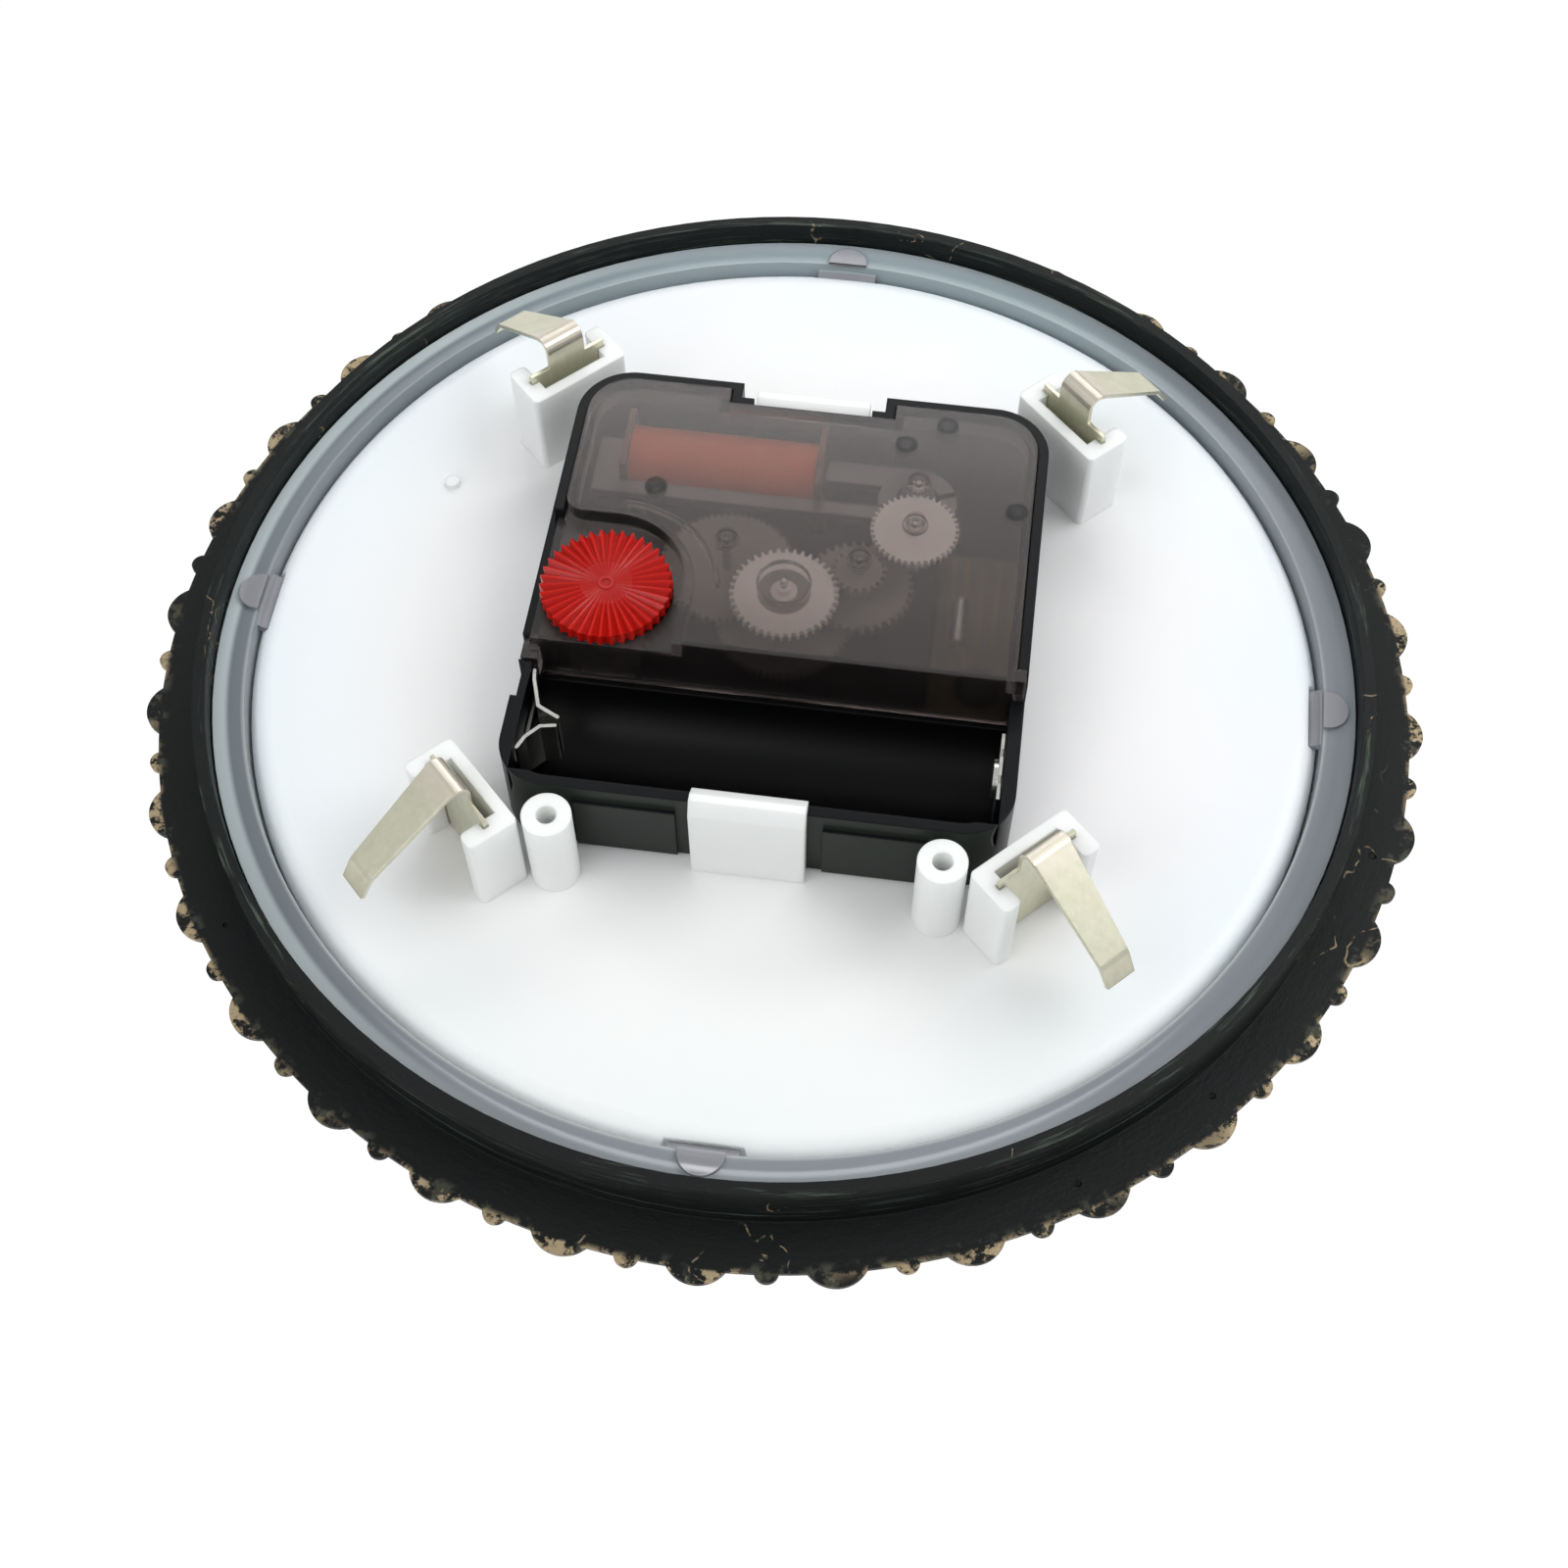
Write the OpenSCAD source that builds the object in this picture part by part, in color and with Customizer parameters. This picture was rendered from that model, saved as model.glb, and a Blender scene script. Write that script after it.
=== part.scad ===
// Clock insert: a round quartz clock that presses into a hole in a panel or case.
// It lies face down: +Z points out of its back and +Y is twelve o'clock. The origin is on the
// collar's axis, in the plane of the bezel flange's back, which seats on the panel.

/* [Bezel] */
// Width of the flange outside the collar, between its lobes
flange_w = 5.4; // [4.8:0.1:7]
// Depth of the bezel in front of the panel
bezel_depth = 8.5; // [7.5:0.1:11]
// Radius of each large lobe
big_lobe_r = 3.65; // [3:0.05:4]
// Radius of each small lobe
small_lobe_r = 1.3; // [1:0.05:1.8]
// How far a large lobe stands out of the edge
big_lobe_out = 1.6; // [1:0.1:2]
// How far a small lobe stands out of the edge
small_lobe_out = 1.0; // [0.6:0.1:1.2]
// Number of large lobes round the edge
lobe_count = 32; // [24:1:34]
// Outside diameter of the collar that enters the panel
collar_d = 136; // [134:0.5:138]
// Wall thickness of the collar
collar_wall = 1.5; // [1.1:0.1:2]
// Height of the collar behind the flange
collar_h = 7.25; // [6.5:0.25:9]
// Thickness of the bezel's front lip
lip_t = 2.0; // [1.5:0.1:2.5]
// Width of the front lip that holds the lens
lip_w = 4.3; // [3.5:0.1:4.8]

/* [Lens] */
// Width of the clear band round the dial plate
lens_band = 3.6; // [3:0.1:4]
// Thickness of the clear pane
pane_t = 1.8; // [1.2:0.1:2.4]
// How far the lens wall stands above the flange plane
lens_top = 4.2; // [4:0.1:4.6]
// Width of the ledge that carries the dial plate
lens_ledge = 5.0; // [4.4:0.1:5.2]
// Width of each lens hook
hook_w = 7.6; // [5:0.2:8]

/* [Dial plate] */
// Thickness of the white plate
plate_t = 2.0; // [1.6:0.1:2.4]
// Height of the plate's back face above the flange plane
plate_back = 3.5; // [3.3:0.1:3.8]
// Radius of the plate's rounded rim
rim_r = 2.8; // [2.2:0.1:3.4]
// Thickness of the printed dial
dial_t = 0.4; // [0.3:0.1:0.5]
// Margin between the printed dial and the plate's rim
dial_margin = 3.0; // [2.6:0.1:6]
// Distance between the two screw bosses
boss_span = 42; // [38:0.5:44]
// Outside diameter of a screw boss
boss_d = 5.4; // [4.6:0.1:5.6]
// Screw hole in a boss
boss_hole_d = 2.2; // [1.8:0.1:2.6]
// Height of the screw bosses
boss_h = 12; // [9:0.5:14]
// Width of the lower latch that holds the movement
latch_w = 12.5; // [10:0.5:15]

/* [Spring clips] */
// Gap between the movement's corner and a clip's leg
clip_gap = 6.0; // [5.6:0.1:6.6]
// Width of a clip's leg in its holder
clip_leg_w = 10.4; // [9:0.1:11]
// Width of a clip's arm
clip_arm_w = 5.0; // [4:0.1:6]
// Thickness of the spring strip
clip_t = 0.5; // [0.3:0.05:0.7]
// Height of a clip above the plate
clip_top = 16.6; // [15.5:0.1:18]
// Slope of a clip's arm in degrees
clip_slope = 33; // [25:1:38]
// Length of the straight part of a clip's arm
clip_arm_l = 12.4; // [9:0.2:13]
// Height of the clip holders above the plate
holder_h = 12; // [9:0.5:13]
// Radial length of a clip holder's cheek
holder_l = 6.0; // [5:0.1:6.6]
// Thickness of a clip holder's cheek
holder_w = 2.3; // [1.8:0.1:3]

/* [Movement] */
// Side of the square movement
move_w = 56; // [55:0.2:57]
// Height of the battery bay's rim
bay_h = 11.3; // [10.8:0.1:12]
// Height of the cover's top
cover_h = 15.1; // [14.9:0.1:16]
// Wall thickness of the movement's case
case_wall = 1.2; // [1:0.1:1.4]
// Wall thickness of the smoky cover
cover_t = 1.0; // [0.8:0.1:1.1]
// Width of the battery bay's cradle
cell_d = 16; // [15.4:0.1:16]
// Width of the recess in the movement's upper edge
recess_w = 17; // [15:0.2:18]
// Depth of the recess in the movement's upper edge
recess_d = 2.2; // [2:0.1:2.4]
// Diameter of the set knob
knob_d = 14.9; // [13.9:0.1:15.3]
// Thickness of the set knob
knob_t = 1.7; // [1.5:0.1:2]
// Diameter of the coil's winding
coil_d = 8.2; // [6.5:0.1:8.4]
// Length of the coil's winding
coil_l = 22; // [18:0.5:23]

/* [Hands] */
// Length of the hour hand from the axis
hour_hand_l = 33; // [26:1:40]
// Length of the minute hand from the axis
minute_hand_l = 50; // [42:1:56]
// Length of the second hand from the axis
second_hand_l = 53; // [44:1:57]
// Thickness of the hour and minute hands
hand_t = 0.4; // [0.3:0.05:0.5]

/* [Hidden] */
$fn = 96;
eps = 0.01;

// Clearances
run_gap = 0.05;    // a shaft in its hole
slip_gap = 0.1;    // a piece that drops into another
lens_gap = 0.2;    // round the lens in the collar
tooth_gap = 0.3;   // between wheels that pass each other

// Bezel
collar_r = collar_d / 2;
edge_r = collar_r + flange_w;
bore_r = collar_r - collar_wall;
lobe_step = 360 / lobe_count;
lobe_turn = 0.7;           // the first lobe's angle
lobe_edge_t = 0.7;         // straight edge behind the lobes' round fronts
bead_in = 0.3;             // how far each round front stands in from its lobe
big_lobe_at = edge_r + big_lobe_out - big_lobe_r;
small_lobe_at = edge_r + small_lobe_out - small_lobe_r;
moulding_r = 2.9;
moulding_z = moulding_r - bezel_depth;
skirt_r = collar_r + 1;
seat_z = -(bezel_depth - lip_t);
opening_r = bore_r - lip_w;
moulding_at = skirt_r - moulding_r;
lip_in = 0.6;              // the lip's front stands in from the moulding's

// Lens
lens_r = bore_r - lens_gap;
lens_in_r = lens_r - lens_band;
plate_r = lens_in_r - lens_gap;
ledge_z = -2;
pane_r = lens_r;
ledge_in_r = lens_r - lens_ledge;
hook_count = 4;
hook_reach = 1.2;          // how far a hook lies over the plate's rim
hook_t = 1.7;
tongue_w = 5.0;            // rounded tongue behind each hook
tongue_l = 2.7;
tongue_t = 0.5;

// Dial plate
plate_front = plate_back - plate_t;
rim_t = 1.5;
dial_front = plate_front - dial_t;
notch_w = hook_w + 0.8;
notch_d = hook_reach + 0.15;
notch_floor = plate_back - hook_t - slip_gap;
boss_y = -(move_w / 2 + 4);
pip_at = [-44, 20];
pip_r = 0.9;
latch_t = 2.0;
latch_hook = 1.2;
shelf_in = 2.0;            // the upper latch's hold below the case's rim
latch_head = 2.0;
shelf_w = recess_w - 3.6;

// Movement, with heights above the plate's back
half = move_w / 2;
cover_under = cover_h - cover_t;
top_corner_r = 6.5;
bay_corner_r = 5.5;
left_inset = 0.6;          // the mechanism's left wall steps in above the knob
floor_t = 1.0;
part_t = 1.2;
case_h = cover_h - 0.4;
skirt_h = 2.2;             // the cover's edge inside the case
bay_in = half - 1.6;
lip_y = -half + case_wall;
wall_y = lip_y + cell_d + 2 * slip_gap;
mouth_y = wall_y - slip_gap;
part_h = 6.3;              // the case's partition, under the cover's front wall
cell_y = mouth_y - cell_d / 2;
cell_z = floor_t + cell_d / 2;
knob_r = knob_d / 2;
knob_edge = 1.05;          // from the case's left side to the knob
knob_over = 0.25;          // how far the knob overhangs the battery bay
knob_at = [-half + knob_edge + knob_r, wall_y - knob_over + knob_r];
pocket_r = knob_r + 1.25;
pocket_at = knob_at + [-0.2, 1.1];
pocket_x = pocket_at[0] + pocket_r;
pocket_y = pocket_at[1] + pocket_r;
pocket_floor = cover_h - 1.9;
pocket_wall_h = pocket_floor - cover_t;
pocket_left = half - 1.1;
knob_z = pocket_floor + 0.3;
boss_bore_r = 2.3;
centre_boss_r = 3.9;
centre_boss_l = plate_t + dial_t + 0.8;

// Clip holders, measured along a radius
clip_r = (half - bay_corner_r) * sqrt(2) + bay_corner_r + clip_gap;
joint_lap = 0.08;          // overlap of a strip's straight and bent lengths
cheek_in = clip_leg_w / 2 - 0.9;
slot_t = clip_t + 2 * slip_gap;
holder_in_r = clip_r - 3.1;
back_wall_t = 1.4;
clip_bend_r = 1.2;
clip_tip_bend = 25;
clip_tip_l = 2.2;
clip_tip_w = 3.6;
clip_foot = 0.1;
clip_ear_h = holder_h + 1.0;

// The plan and the heights below were laid out for a body of this size
laid_half = 28;
laid_wall = 10.6;
laid_h = 15.1;
plan = min(half / laid_half, -wall_y / laid_wall);
rise = cover_h / laid_h;

// Heights of the wheels above the plate's back: [bottom, top]
hour_lv = rise * [1.5, 2.6];
work_pin_lv = rise * [1.4, 3.4];
work_lv = rise * [3.4, 4.3];
cannon_lv = rise * [3.1, 4.6];
mid_lv = rise * [5.2, 6.2];
centre_lv = rise * [6.8, 7.6];
third_pin_lv = rise * [6.6, 8.3];
third_lv = rise * [8.3, 9.1];
seconds_pin_lv = rise * [8.1, 9.5];
fifth_lv = rise * [8.3, 9.1];
sixth_pin_lv = rise * [8.1, 9.4];
fifth_pin_lv = rise * [11.0, 12.2];
seconds_lv = rise * [11.2, 11.9];
sixth_lv = rise * [12.5, 13.1];
rotor_pin_lv = rise * [12.3, 13.3];
magnet_lv = rise * [9.0, 11.6];
core_lv = rise * [8.4, 9.6];
stator_lv = rise * [9.6, 10.8];

// Teeth: a pinion drives or is driven by the wheel after it
rotor_n = 8;
sixth_n = 40;
sixth_pin_n = 12;
fifth_n = 36;
fifth_pin_n = 20;
seconds_n = 40;
seconds_pin_n = 8;
third_n = 60;
third_pin_n = 8;
centre_n = 64;
cannon_n = 12;
work_n = 36;
work_pin_n = 10;
hour_n = 40;
knob_n = 30;

// Where the arbors stand
axis_at = [0, 0];
rotor_at = plan * [13.5, 15.9];
sixth_at = plan * [13.7, 10.0];
fifth_at = plan * [8.0, 4.1];
third_at = plan * [-7.2, 4.9];
// the minute work stands between the axis and the knob, so that one tooth size serves all three
work_at = knob_at * (cannon_n + work_n) / (cannon_n + 2 * work_n + knob_n);

pivots = [rotor_at, sixth_at, fifth_at, third_at];
arbor_r = 0.55;
pivot_r = 0.35;
pivot_low = mid_lv[0] + 0.3;
shoulder_low = mid_lv[1] + 0.25;
cup_r = 1.4;
shoulder_top = cover_under - 0.75;
pivot_end = cover_under + 0.2;
pivot_bore = cover_under + 0.35;
centre_cup_r = 3.0;
shaft_r = 0.5;
minute_pipe_r = 1.25;
hour_pipe_r = boss_bore_r - run_gap;
set_arbor_r = 1.5;

// Ends of the pipes in front of the dial, below the plate's back
hour_hand_z = dial_front - plate_back - 1.6;
hour_hub_r = 4.0;
minute_hub_r = 3.0;
second_hub_r = 2.0;
hour_hand_w = 4.4;
minute_hand_w = 3.4;
hour_tail = 6;
minute_tail = 8;
second_tail = 14;
minute_hand_z = hour_hand_z - 1.1;
second_hand_z = minute_hand_z - 1.0;

// Rest angles of the hands, counted clockwise as seen from the front
hour_rest = 305;
minute_rest = 60;
second_rest = 210;

// Battery contacts
contact_t = 0.4;

// Motor
coil_y = plan * 19.1;
coil_z = (core_lv[0] + core_lv[1]) / 2;
coil_x0 = plan * -20.6;
coil_end_t = plan * 0.8;
coil_len = plan * coil_l;
coil_end_w = min(plan * (coil_d + 0.4), 2 * (cover_under - coil_z) - 0.8);
winding_d = coil_end_w - 0.4;
core_w = plan * 3.0;
sleeve_w = core_w + 1.4;
sleeve_h = rise * 3.0;
core_x0 = coil_x0 - plan * 3.9;
core_x1 = coil_x0 + coil_len + plan * 4.2;
core_past = 10;
pole_r = plan * 4.6;
pole_gap = 0.35;
rotor_hole_r = plan * 2.6;
magnet_r = plan * 2.1;
stator_arm = plan * [12.7, 14.5];

// Circuit board
board_at = plan * [17.2, -9.0];
board_size = plan * [9.0, 23.0];
board_lv = rise * [2.6, 3.8];
can_r = 1.0;
can_l = 6.0;
can_at = plan * [2.6, 9.5];
chip_at = plan * [5.6, 5.0];

// Mid plate: its middle and the arm under the rotor
mid_low = wall_y + part_t + slip_gap;
mid_body = plan * [-15.4, 16.6, 13.0];
mid_arm = plan * [10.0, 6.0, 19.0];
pillars = plan * [[12.5, -7.6], [-12.2, 10.6], [-13.4, -7.9], [1.5, 11.6]];
pillar_r = plan * 1.3;

// Small posts and the rib under the lid
lid_posts = plan * [[16.0, 24.3], [11.5, 20.9], [-16.3, 11.0], [25.0, 12.6]];
lid_rib_r = knob_r + 5.15;
lid_rib_t = 0.5;
lid_rib_h = 0.8;

function between(a, b) = norm(b - a);
function toward(a, b) = atan2(b[1] - a[1], b[0] - a[0]);
function tooth_size(a, b, n1, n2) = 2 * between(a, b) / (n1 + n2);
// Angle of a tooth on the second wheel so that it meshes with the first
function mesh(a, b, n1, turn1, n2) =
    toward(a, b) + 180 + 180 / n2 - (turn1 - toward(a, b)) * n1 / n2;
function polar(r, a) = [r * cos(a), r * sin(a)];

// Tooth size of each meshing pair
rotor_m = tooth_size(rotor_at, sixth_at, rotor_n, sixth_n);
sixth_m = tooth_size(sixth_at, fifth_at, sixth_pin_n, fifth_n);
fifth_m = tooth_size(fifth_at, axis_at, fifth_pin_n, seconds_n);
third_m = tooth_size(axis_at, third_at, seconds_pin_n, third_n);
centre_m = tooth_size(third_at, axis_at, third_pin_n, centre_n);
work_m = tooth_size(axis_at, work_at, cannon_n, work_n);
hour_m = tooth_size(work_at, axis_at, work_pin_n, hour_n);

// Outline of a wheel: narrow teeth with bevelled tips, cut a little shallow
function tooth(n, m, k) = let(
    rp = n * m / 2, step = 360 / n, a = k * step,
    root = rp - 1.15 * m, tip = rp + 0.75 * m,
    wr = 0.21 * step, wp = 0.19 * step, wt = 0.07 * step)
    [polar(root, a - wr), polar(rp + 0.1 * m, a - wp), polar(tip, a - wt),
     polar(tip, a + wt), polar(rp + 0.1 * m, a + wp), polar(root, a + wr)];
module teeth(n, m, lv, turn = 0) {
    translate([0, 0, lv[0]]) rotate([0, 0, turn]) linear_extrude(lv[1] - lv[0])
        polygon([for (k = [0:n - 1]) each tooth(n, m, k)]);
}

// A round bar from one height to another
module bar(r, z0, z1) {
    translate([0, 0, z0]) cylinder(r = r, h = z1 - z0);
}
module ring(r_out, r_in, z0, z1) {
    difference() {
        bar(r_out, z0, z1);
        bar(r_in, z0 - 1, z1 + 1);
    }
}
// A rectangle with its own radius at the lower and the upper corners
module rounded(x0, y0, x1, y1, r_low, r_up) {
    translate([x0 + r_low, y0]) square([x1 - x0 - 2 * r_low, r_low + eps]);
    translate([x0, y0 + r_low]) square([x1 - x0, y1 - y0 - r_low - r_up]);
    translate([x0 + r_up, y1 - r_up - eps]) square([x1 - x0 - 2 * r_up, r_up + eps]);
    for (x = [x0 + r_low, x1 - r_low]) translate([x, y0 + r_low]) circle(r_low);
    for (x = [x0 + r_up, x1 - r_up]) translate([x, y1 - r_up]) circle(r_up);
}
// A turned arbor: from z0 upwards, each step gives its radius and its top
module turned(z0, steps) {
    last = len(steps) - 1;
    rotate_extrude() polygon(concat([[0, z0]],
        [for (i = [0:last]) each [[steps[i][0], i == 0 ? z0 : steps[i - 1][1]], steps[i]]],
        [[0, steps[last][1]]]));
}
// An arbor with a thin pivot at each end and a thicker middle
module arbor(r) {
    turned(pivot_low, [[pivot_r, shoulder_low], [r, shoulder_top], [pivot_r, pivot_end]]);
}
module on_plate() {
    translate([0, 0, plate_back]) children();
}

// Bezel: lobed flange, collar and moulded front in one casting
module bezel_profile() {
    difference() {
        union() {
            translate([bore_r - 1, -0.4]) square([collar_r - bore_r + 1, collar_h + 0.4]);
            translate([bore_r - 1, moulding_z]) square([skirt_r - bore_r + 1, -moulding_z]);
            translate([moulding_at, moulding_z]) circle(moulding_r);
            translate([opening_r, -bezel_depth + lip_in])
                square([moulding_at - opening_r, lip_t - lip_in]);
        }
        translate([0, seat_z]) square([bore_r, bezel_depth + collar_h + 9]);
        translate([0, -bezel_depth - 1]) square([opening_r, bezel_depth + 2]);
    }
}
module lobe_outline(k) {
    rotate(lobe_turn + k * lobe_step) translate([big_lobe_at, 0]) circle(big_lobe_r);
    rotate(lobe_turn + (k + 0.5) * lobe_step) translate([small_lobe_at, 0]) circle(small_lobe_r);
}
module bead(r, at) {
    translate([at, 0, 0.2 - lobe_edge_t]) rotate_extrude() intersection() {
        circle(r);
        translate([0, -r - 1]) square(r + 1);
    }
}
module bezel() color("#26262a") {
    rotate_extrude() bezel_profile();
    translate([0, 0, -lobe_edge_t]) linear_extrude(lobe_edge_t) difference() {
        union() {
            circle(edge_r);
            for (k = [0:lobe_count - 1]) lobe_outline(k);
        }
        circle(bore_r + 0.5);
    }
    for (k = [0:lobe_count - 1]) rotate([0, 0, lobe_turn + k * lobe_step]) {
        bead(big_lobe_r - bead_in, big_lobe_at);
        rotate([0, 0, lobe_step / 2]) bead(small_lobe_r - bead_in, small_lobe_at);
    }
}

// Lens: a clear cup with four snap hooks
module lens() color("#c8d8dc", 0.4) {
    difference() {
        bar(lens_r, seat_z, lens_top);
        bar(ledge_in_r, seat_z + pane_t, lens_top + 1);
        bar(lens_in_r, ledge_z, lens_top + 1);
    }
    for (k = [0:hook_count - 1]) rotate([0, 0, k * 360 / hook_count]) hook();
}
module hook() {
    hook_in = plate_r - hook_reach;
    hook_out = lens_in_r + 0.2;
    rotate([90, 0, 0]) linear_extrude(hook_w, center = true)
        polygon([[hook_in, notch_floor + slip_gap], [hook_out, notch_floor + slip_gap],
                 [hook_out, plate_back + 0.5], [hook_in + 2.2, plate_back + 0.1],
                 [hook_in + 0.5, plate_back - 0.9], [hook_in, plate_back - 1.1]]);
    translate([lens_in_r - 0.2, 0, lens_top - 0.2]) linear_extrude(tongue_t + 0.2) {
        translate([0, -tongue_w / 2]) square([tongue_l - tongue_w / 2 + 0.2, tongue_w]);
        intersection() {
            translate([tongue_l - tongue_w / 2 + 0.2, 0]) circle(tongue_w / 2);
            translate([0, -tongue_w / 2]) square([tongue_l + 1, tongue_w]);
        }
    }
}

// Dial plate: white carrier with clip holders, bosses and latches
module plate_profile() {
    difference() {
        union() {
            translate([0, plate_front]) square([plate_r - rim_r, plate_t]);
            translate([plate_r - rim_r, plate_back - rim_r]) circle(rim_r);
            translate([plate_r - rim_t, ledge_z])
                square([rim_t, plate_back - rim_r - ledge_z]);
        }
        translate([0, ledge_z - 1]) square([plate_r - rim_t, plate_front - ledge_z + 1 - 1.3]);
        translate([0, plate_front - 2]) square([plate_r - rim_t - 1.3, 2]);
    }
}
module notch() {
    translate([plate_r - notch_d, 0, notch_floor]) linear_extrude(5)
        polygon([[0, -notch_w / 2], [0, notch_w / 2],
                 [notch_d + 1, notch_w / 2 + 0.9], [notch_d + 1, -notch_w / 2 - 0.9]]);
}
module clip_holder() {
    cheek_out = cheek_in + holder_w;
    difference() {
        linear_extrude(holder_h) {
            translate([holder_in_r, -cheek_out + 0.5]) square([back_wall_t, 2 * cheek_out - 1]);
            for (s = [-1, 1]) translate([0, s * (cheek_in + holder_w / 2)])
                rounded(holder_in_r, -holder_w / 2, holder_in_r + holder_l, holder_w / 2, 0.7, 0.7);
        }
        translate([clip_r - slot_t / 2, -clip_leg_w / 2 - slip_gap, clip_foot - eps])
            cube([slot_t, clip_leg_w + 2 * slip_gap, holder_h + 1]);
    }
}
module screw_boss() {
    difference() {
        bar(boss_d / 2, -eps, boss_h);
        bar(boss_hole_d / 2, 1.5, boss_h + 1);
    }
}
// A springy tab whose head hooks over the movement's edge
module latch(w, h) {
    rotate([90, 0, 90]) linear_extrude(w, center = true)
        polygon([[slip_gap, -eps], [latch_t, -eps], [latch_t, h - latch_head + 0.2],
                 [latch_t - 0.9, h], [0.2, h], [-latch_hook, h - 1.1],
                 [-latch_hook, h - latch_head], [slip_gap, h - latch_head]]);
}
module dial_plate() color("#f4f7f8") {
    difference() {
        rotate_extrude() plate_profile();
        bar(centre_boss_r + slip_gap, plate_front - 1, plate_back + 1);
        for (k = [0:hook_count - 1]) rotate([0, 0, k * 360 / hook_count]) notch();
    }
    on_plate() {
        for (a = [45:90:315]) rotate([0, 0, a]) clip_holder();
        for (s = [-1, 1]) translate([s * boss_span / 2, boss_y, 0]) screw_boss();
        translate([0, -half, 0]) mirror([0, 1, 0]) latch(latch_w, bay_h + slip_gap + latch_head);
        translate([0, half - recess_d, 0])
            latch(shelf_w, case_h - shelf_in + slip_gap + latch_head);
        translate([pip_at[0], pip_at[1], -eps]) cylinder(r = pip_r, h = 0.6);
    }
}
module dial_face() color("#f6f1e2") {
    ring(plate_r - dial_margin, centre_boss_r + slip_gap, dial_front, plate_front);
}

// Spring clips, drawn along +X and turned to each holder
module clip_side() {
    bend_x = clip_r + clip_bend_r;
    bend_z = clip_top - clip_bend_r - clip_t / 2;
    turn = 90 - clip_slope;
    arm_at = [bend_x, bend_z] + polar(clip_bend_r, turn);
    tip_c = arm_at + polar(clip_arm_l, -clip_slope) - polar(2, turn);
    tip_turn = turn - clip_tip_bend;
    translate([clip_r - clip_t / 2, clip_foot]) square([clip_t, bend_z - clip_foot + joint_lap]);
    translate([bend_x, bend_z]) arc_strip(clip_bend_r, turn, 180);
    translate(arm_at) rotate(-clip_slope) translate([-joint_lap, -clip_t / 2])
        square([clip_arm_l + 2 * joint_lap, clip_t]);
    translate(tip_c) arc_strip(2, tip_turn, turn);
    translate(tip_c + polar(2, tip_turn)) rotate(tip_turn - 90)
        translate([-joint_lap, -clip_t / 2]) square([clip_tip_l + joint_lap, clip_t]);
}
module arc_strip(r, a0, a1) {
    polygon(concat([for (k = [0:8]) polar(r + clip_t / 2, a0 + (a1 - a0) * k / 8)],
                   [for (k = [8:-1:0]) polar(r - clip_t / 2, a0 + (a1 - a0) * k / 8)]));
}
module clip_plan() {
    arm_x1 = clip_r + 25;
    translate([clip_r - 2, -clip_arm_w / 2]) square([4, clip_arm_w]);
    polygon([[clip_r, -clip_arm_w / 2], [arm_x1, -clip_tip_w / 2 + 0.5],
             [arm_x1, clip_tip_w / 2 - 0.5], [clip_r, clip_arm_w / 2]]);
}
module spring_clip(k) color("#b9b79a") {
    on_plate() rotate([0, 0, 45 + 90 * (k - 1)]) {
        intersection() {
            rotate([90, 0, 0]) linear_extrude(clip_leg_w + 2, center = true) clip_side();
            translate([0, 0, clip_foot]) linear_extrude(clip_top) clip_plan();
        }
        translate([clip_r - clip_t / 2, -clip_leg_w / 2, clip_foot])
            cube([clip_t, clip_leg_w, clip_ear_h - clip_foot]);
    }
}

// Movement case: mechanism box and battery bay in one moulding
module case_plan(i, left) {
    difference() {
        rounded(-half + left + i, -half + i, half - i, half - i, bay_corner_r - i, top_corner_r - i);
        translate([-recess_w / 2 - i, half - recess_d - i]) square([recess_w + 2 * i, recess_d + i + 1]);
    }
}
// The part of the plan above a line across it
module plan_above(y, i, left) {
    intersection() {
        case_plan(i, left);
        translate([-half, y]) square([move_w, move_w]);
    }
}
// The lowered corner round the set knob, grown by g
module pocket_plan(g) {
    side_x = -half - 1;
    low_y = wall_y - 1;
    translate([side_x, low_y]) square([pocket_x + g - side_x, pocket_at[1] - low_y]);
    translate([side_x, low_y]) square([pocket_at[0] - side_x, pocket_y + g - low_y]);
    translate(pocket_at) circle(pocket_r + g);
    // the lid's rounded corner above the knob
    corner_r = 2 - g;
    corner_x = -half + left_inset + case_wall + slip_gap + g;
    translate([corner_x, pocket_y + g - eps]) difference() {
        square(corner_r + eps);
        translate([corner_r + eps, corner_r + eps]) circle(corner_r);
    }
}
module bay_cut() {
    translate([-bay_in, cell_y, cell_z]) rotate([0, 90, 0]) cylinder(d = cell_d, h = 2 * bay_in);
    translate([0, 0, cell_z]) linear_extrude(cover_h)
        rounded(-bay_in, cell_y - cell_d / 2, bay_in, mouth_y, 4, 0.6);
    translate([-bay_in, cell_y, part_h]) cube([2 * bay_in, mouth_y - cell_y, cover_h]);
}
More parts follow.
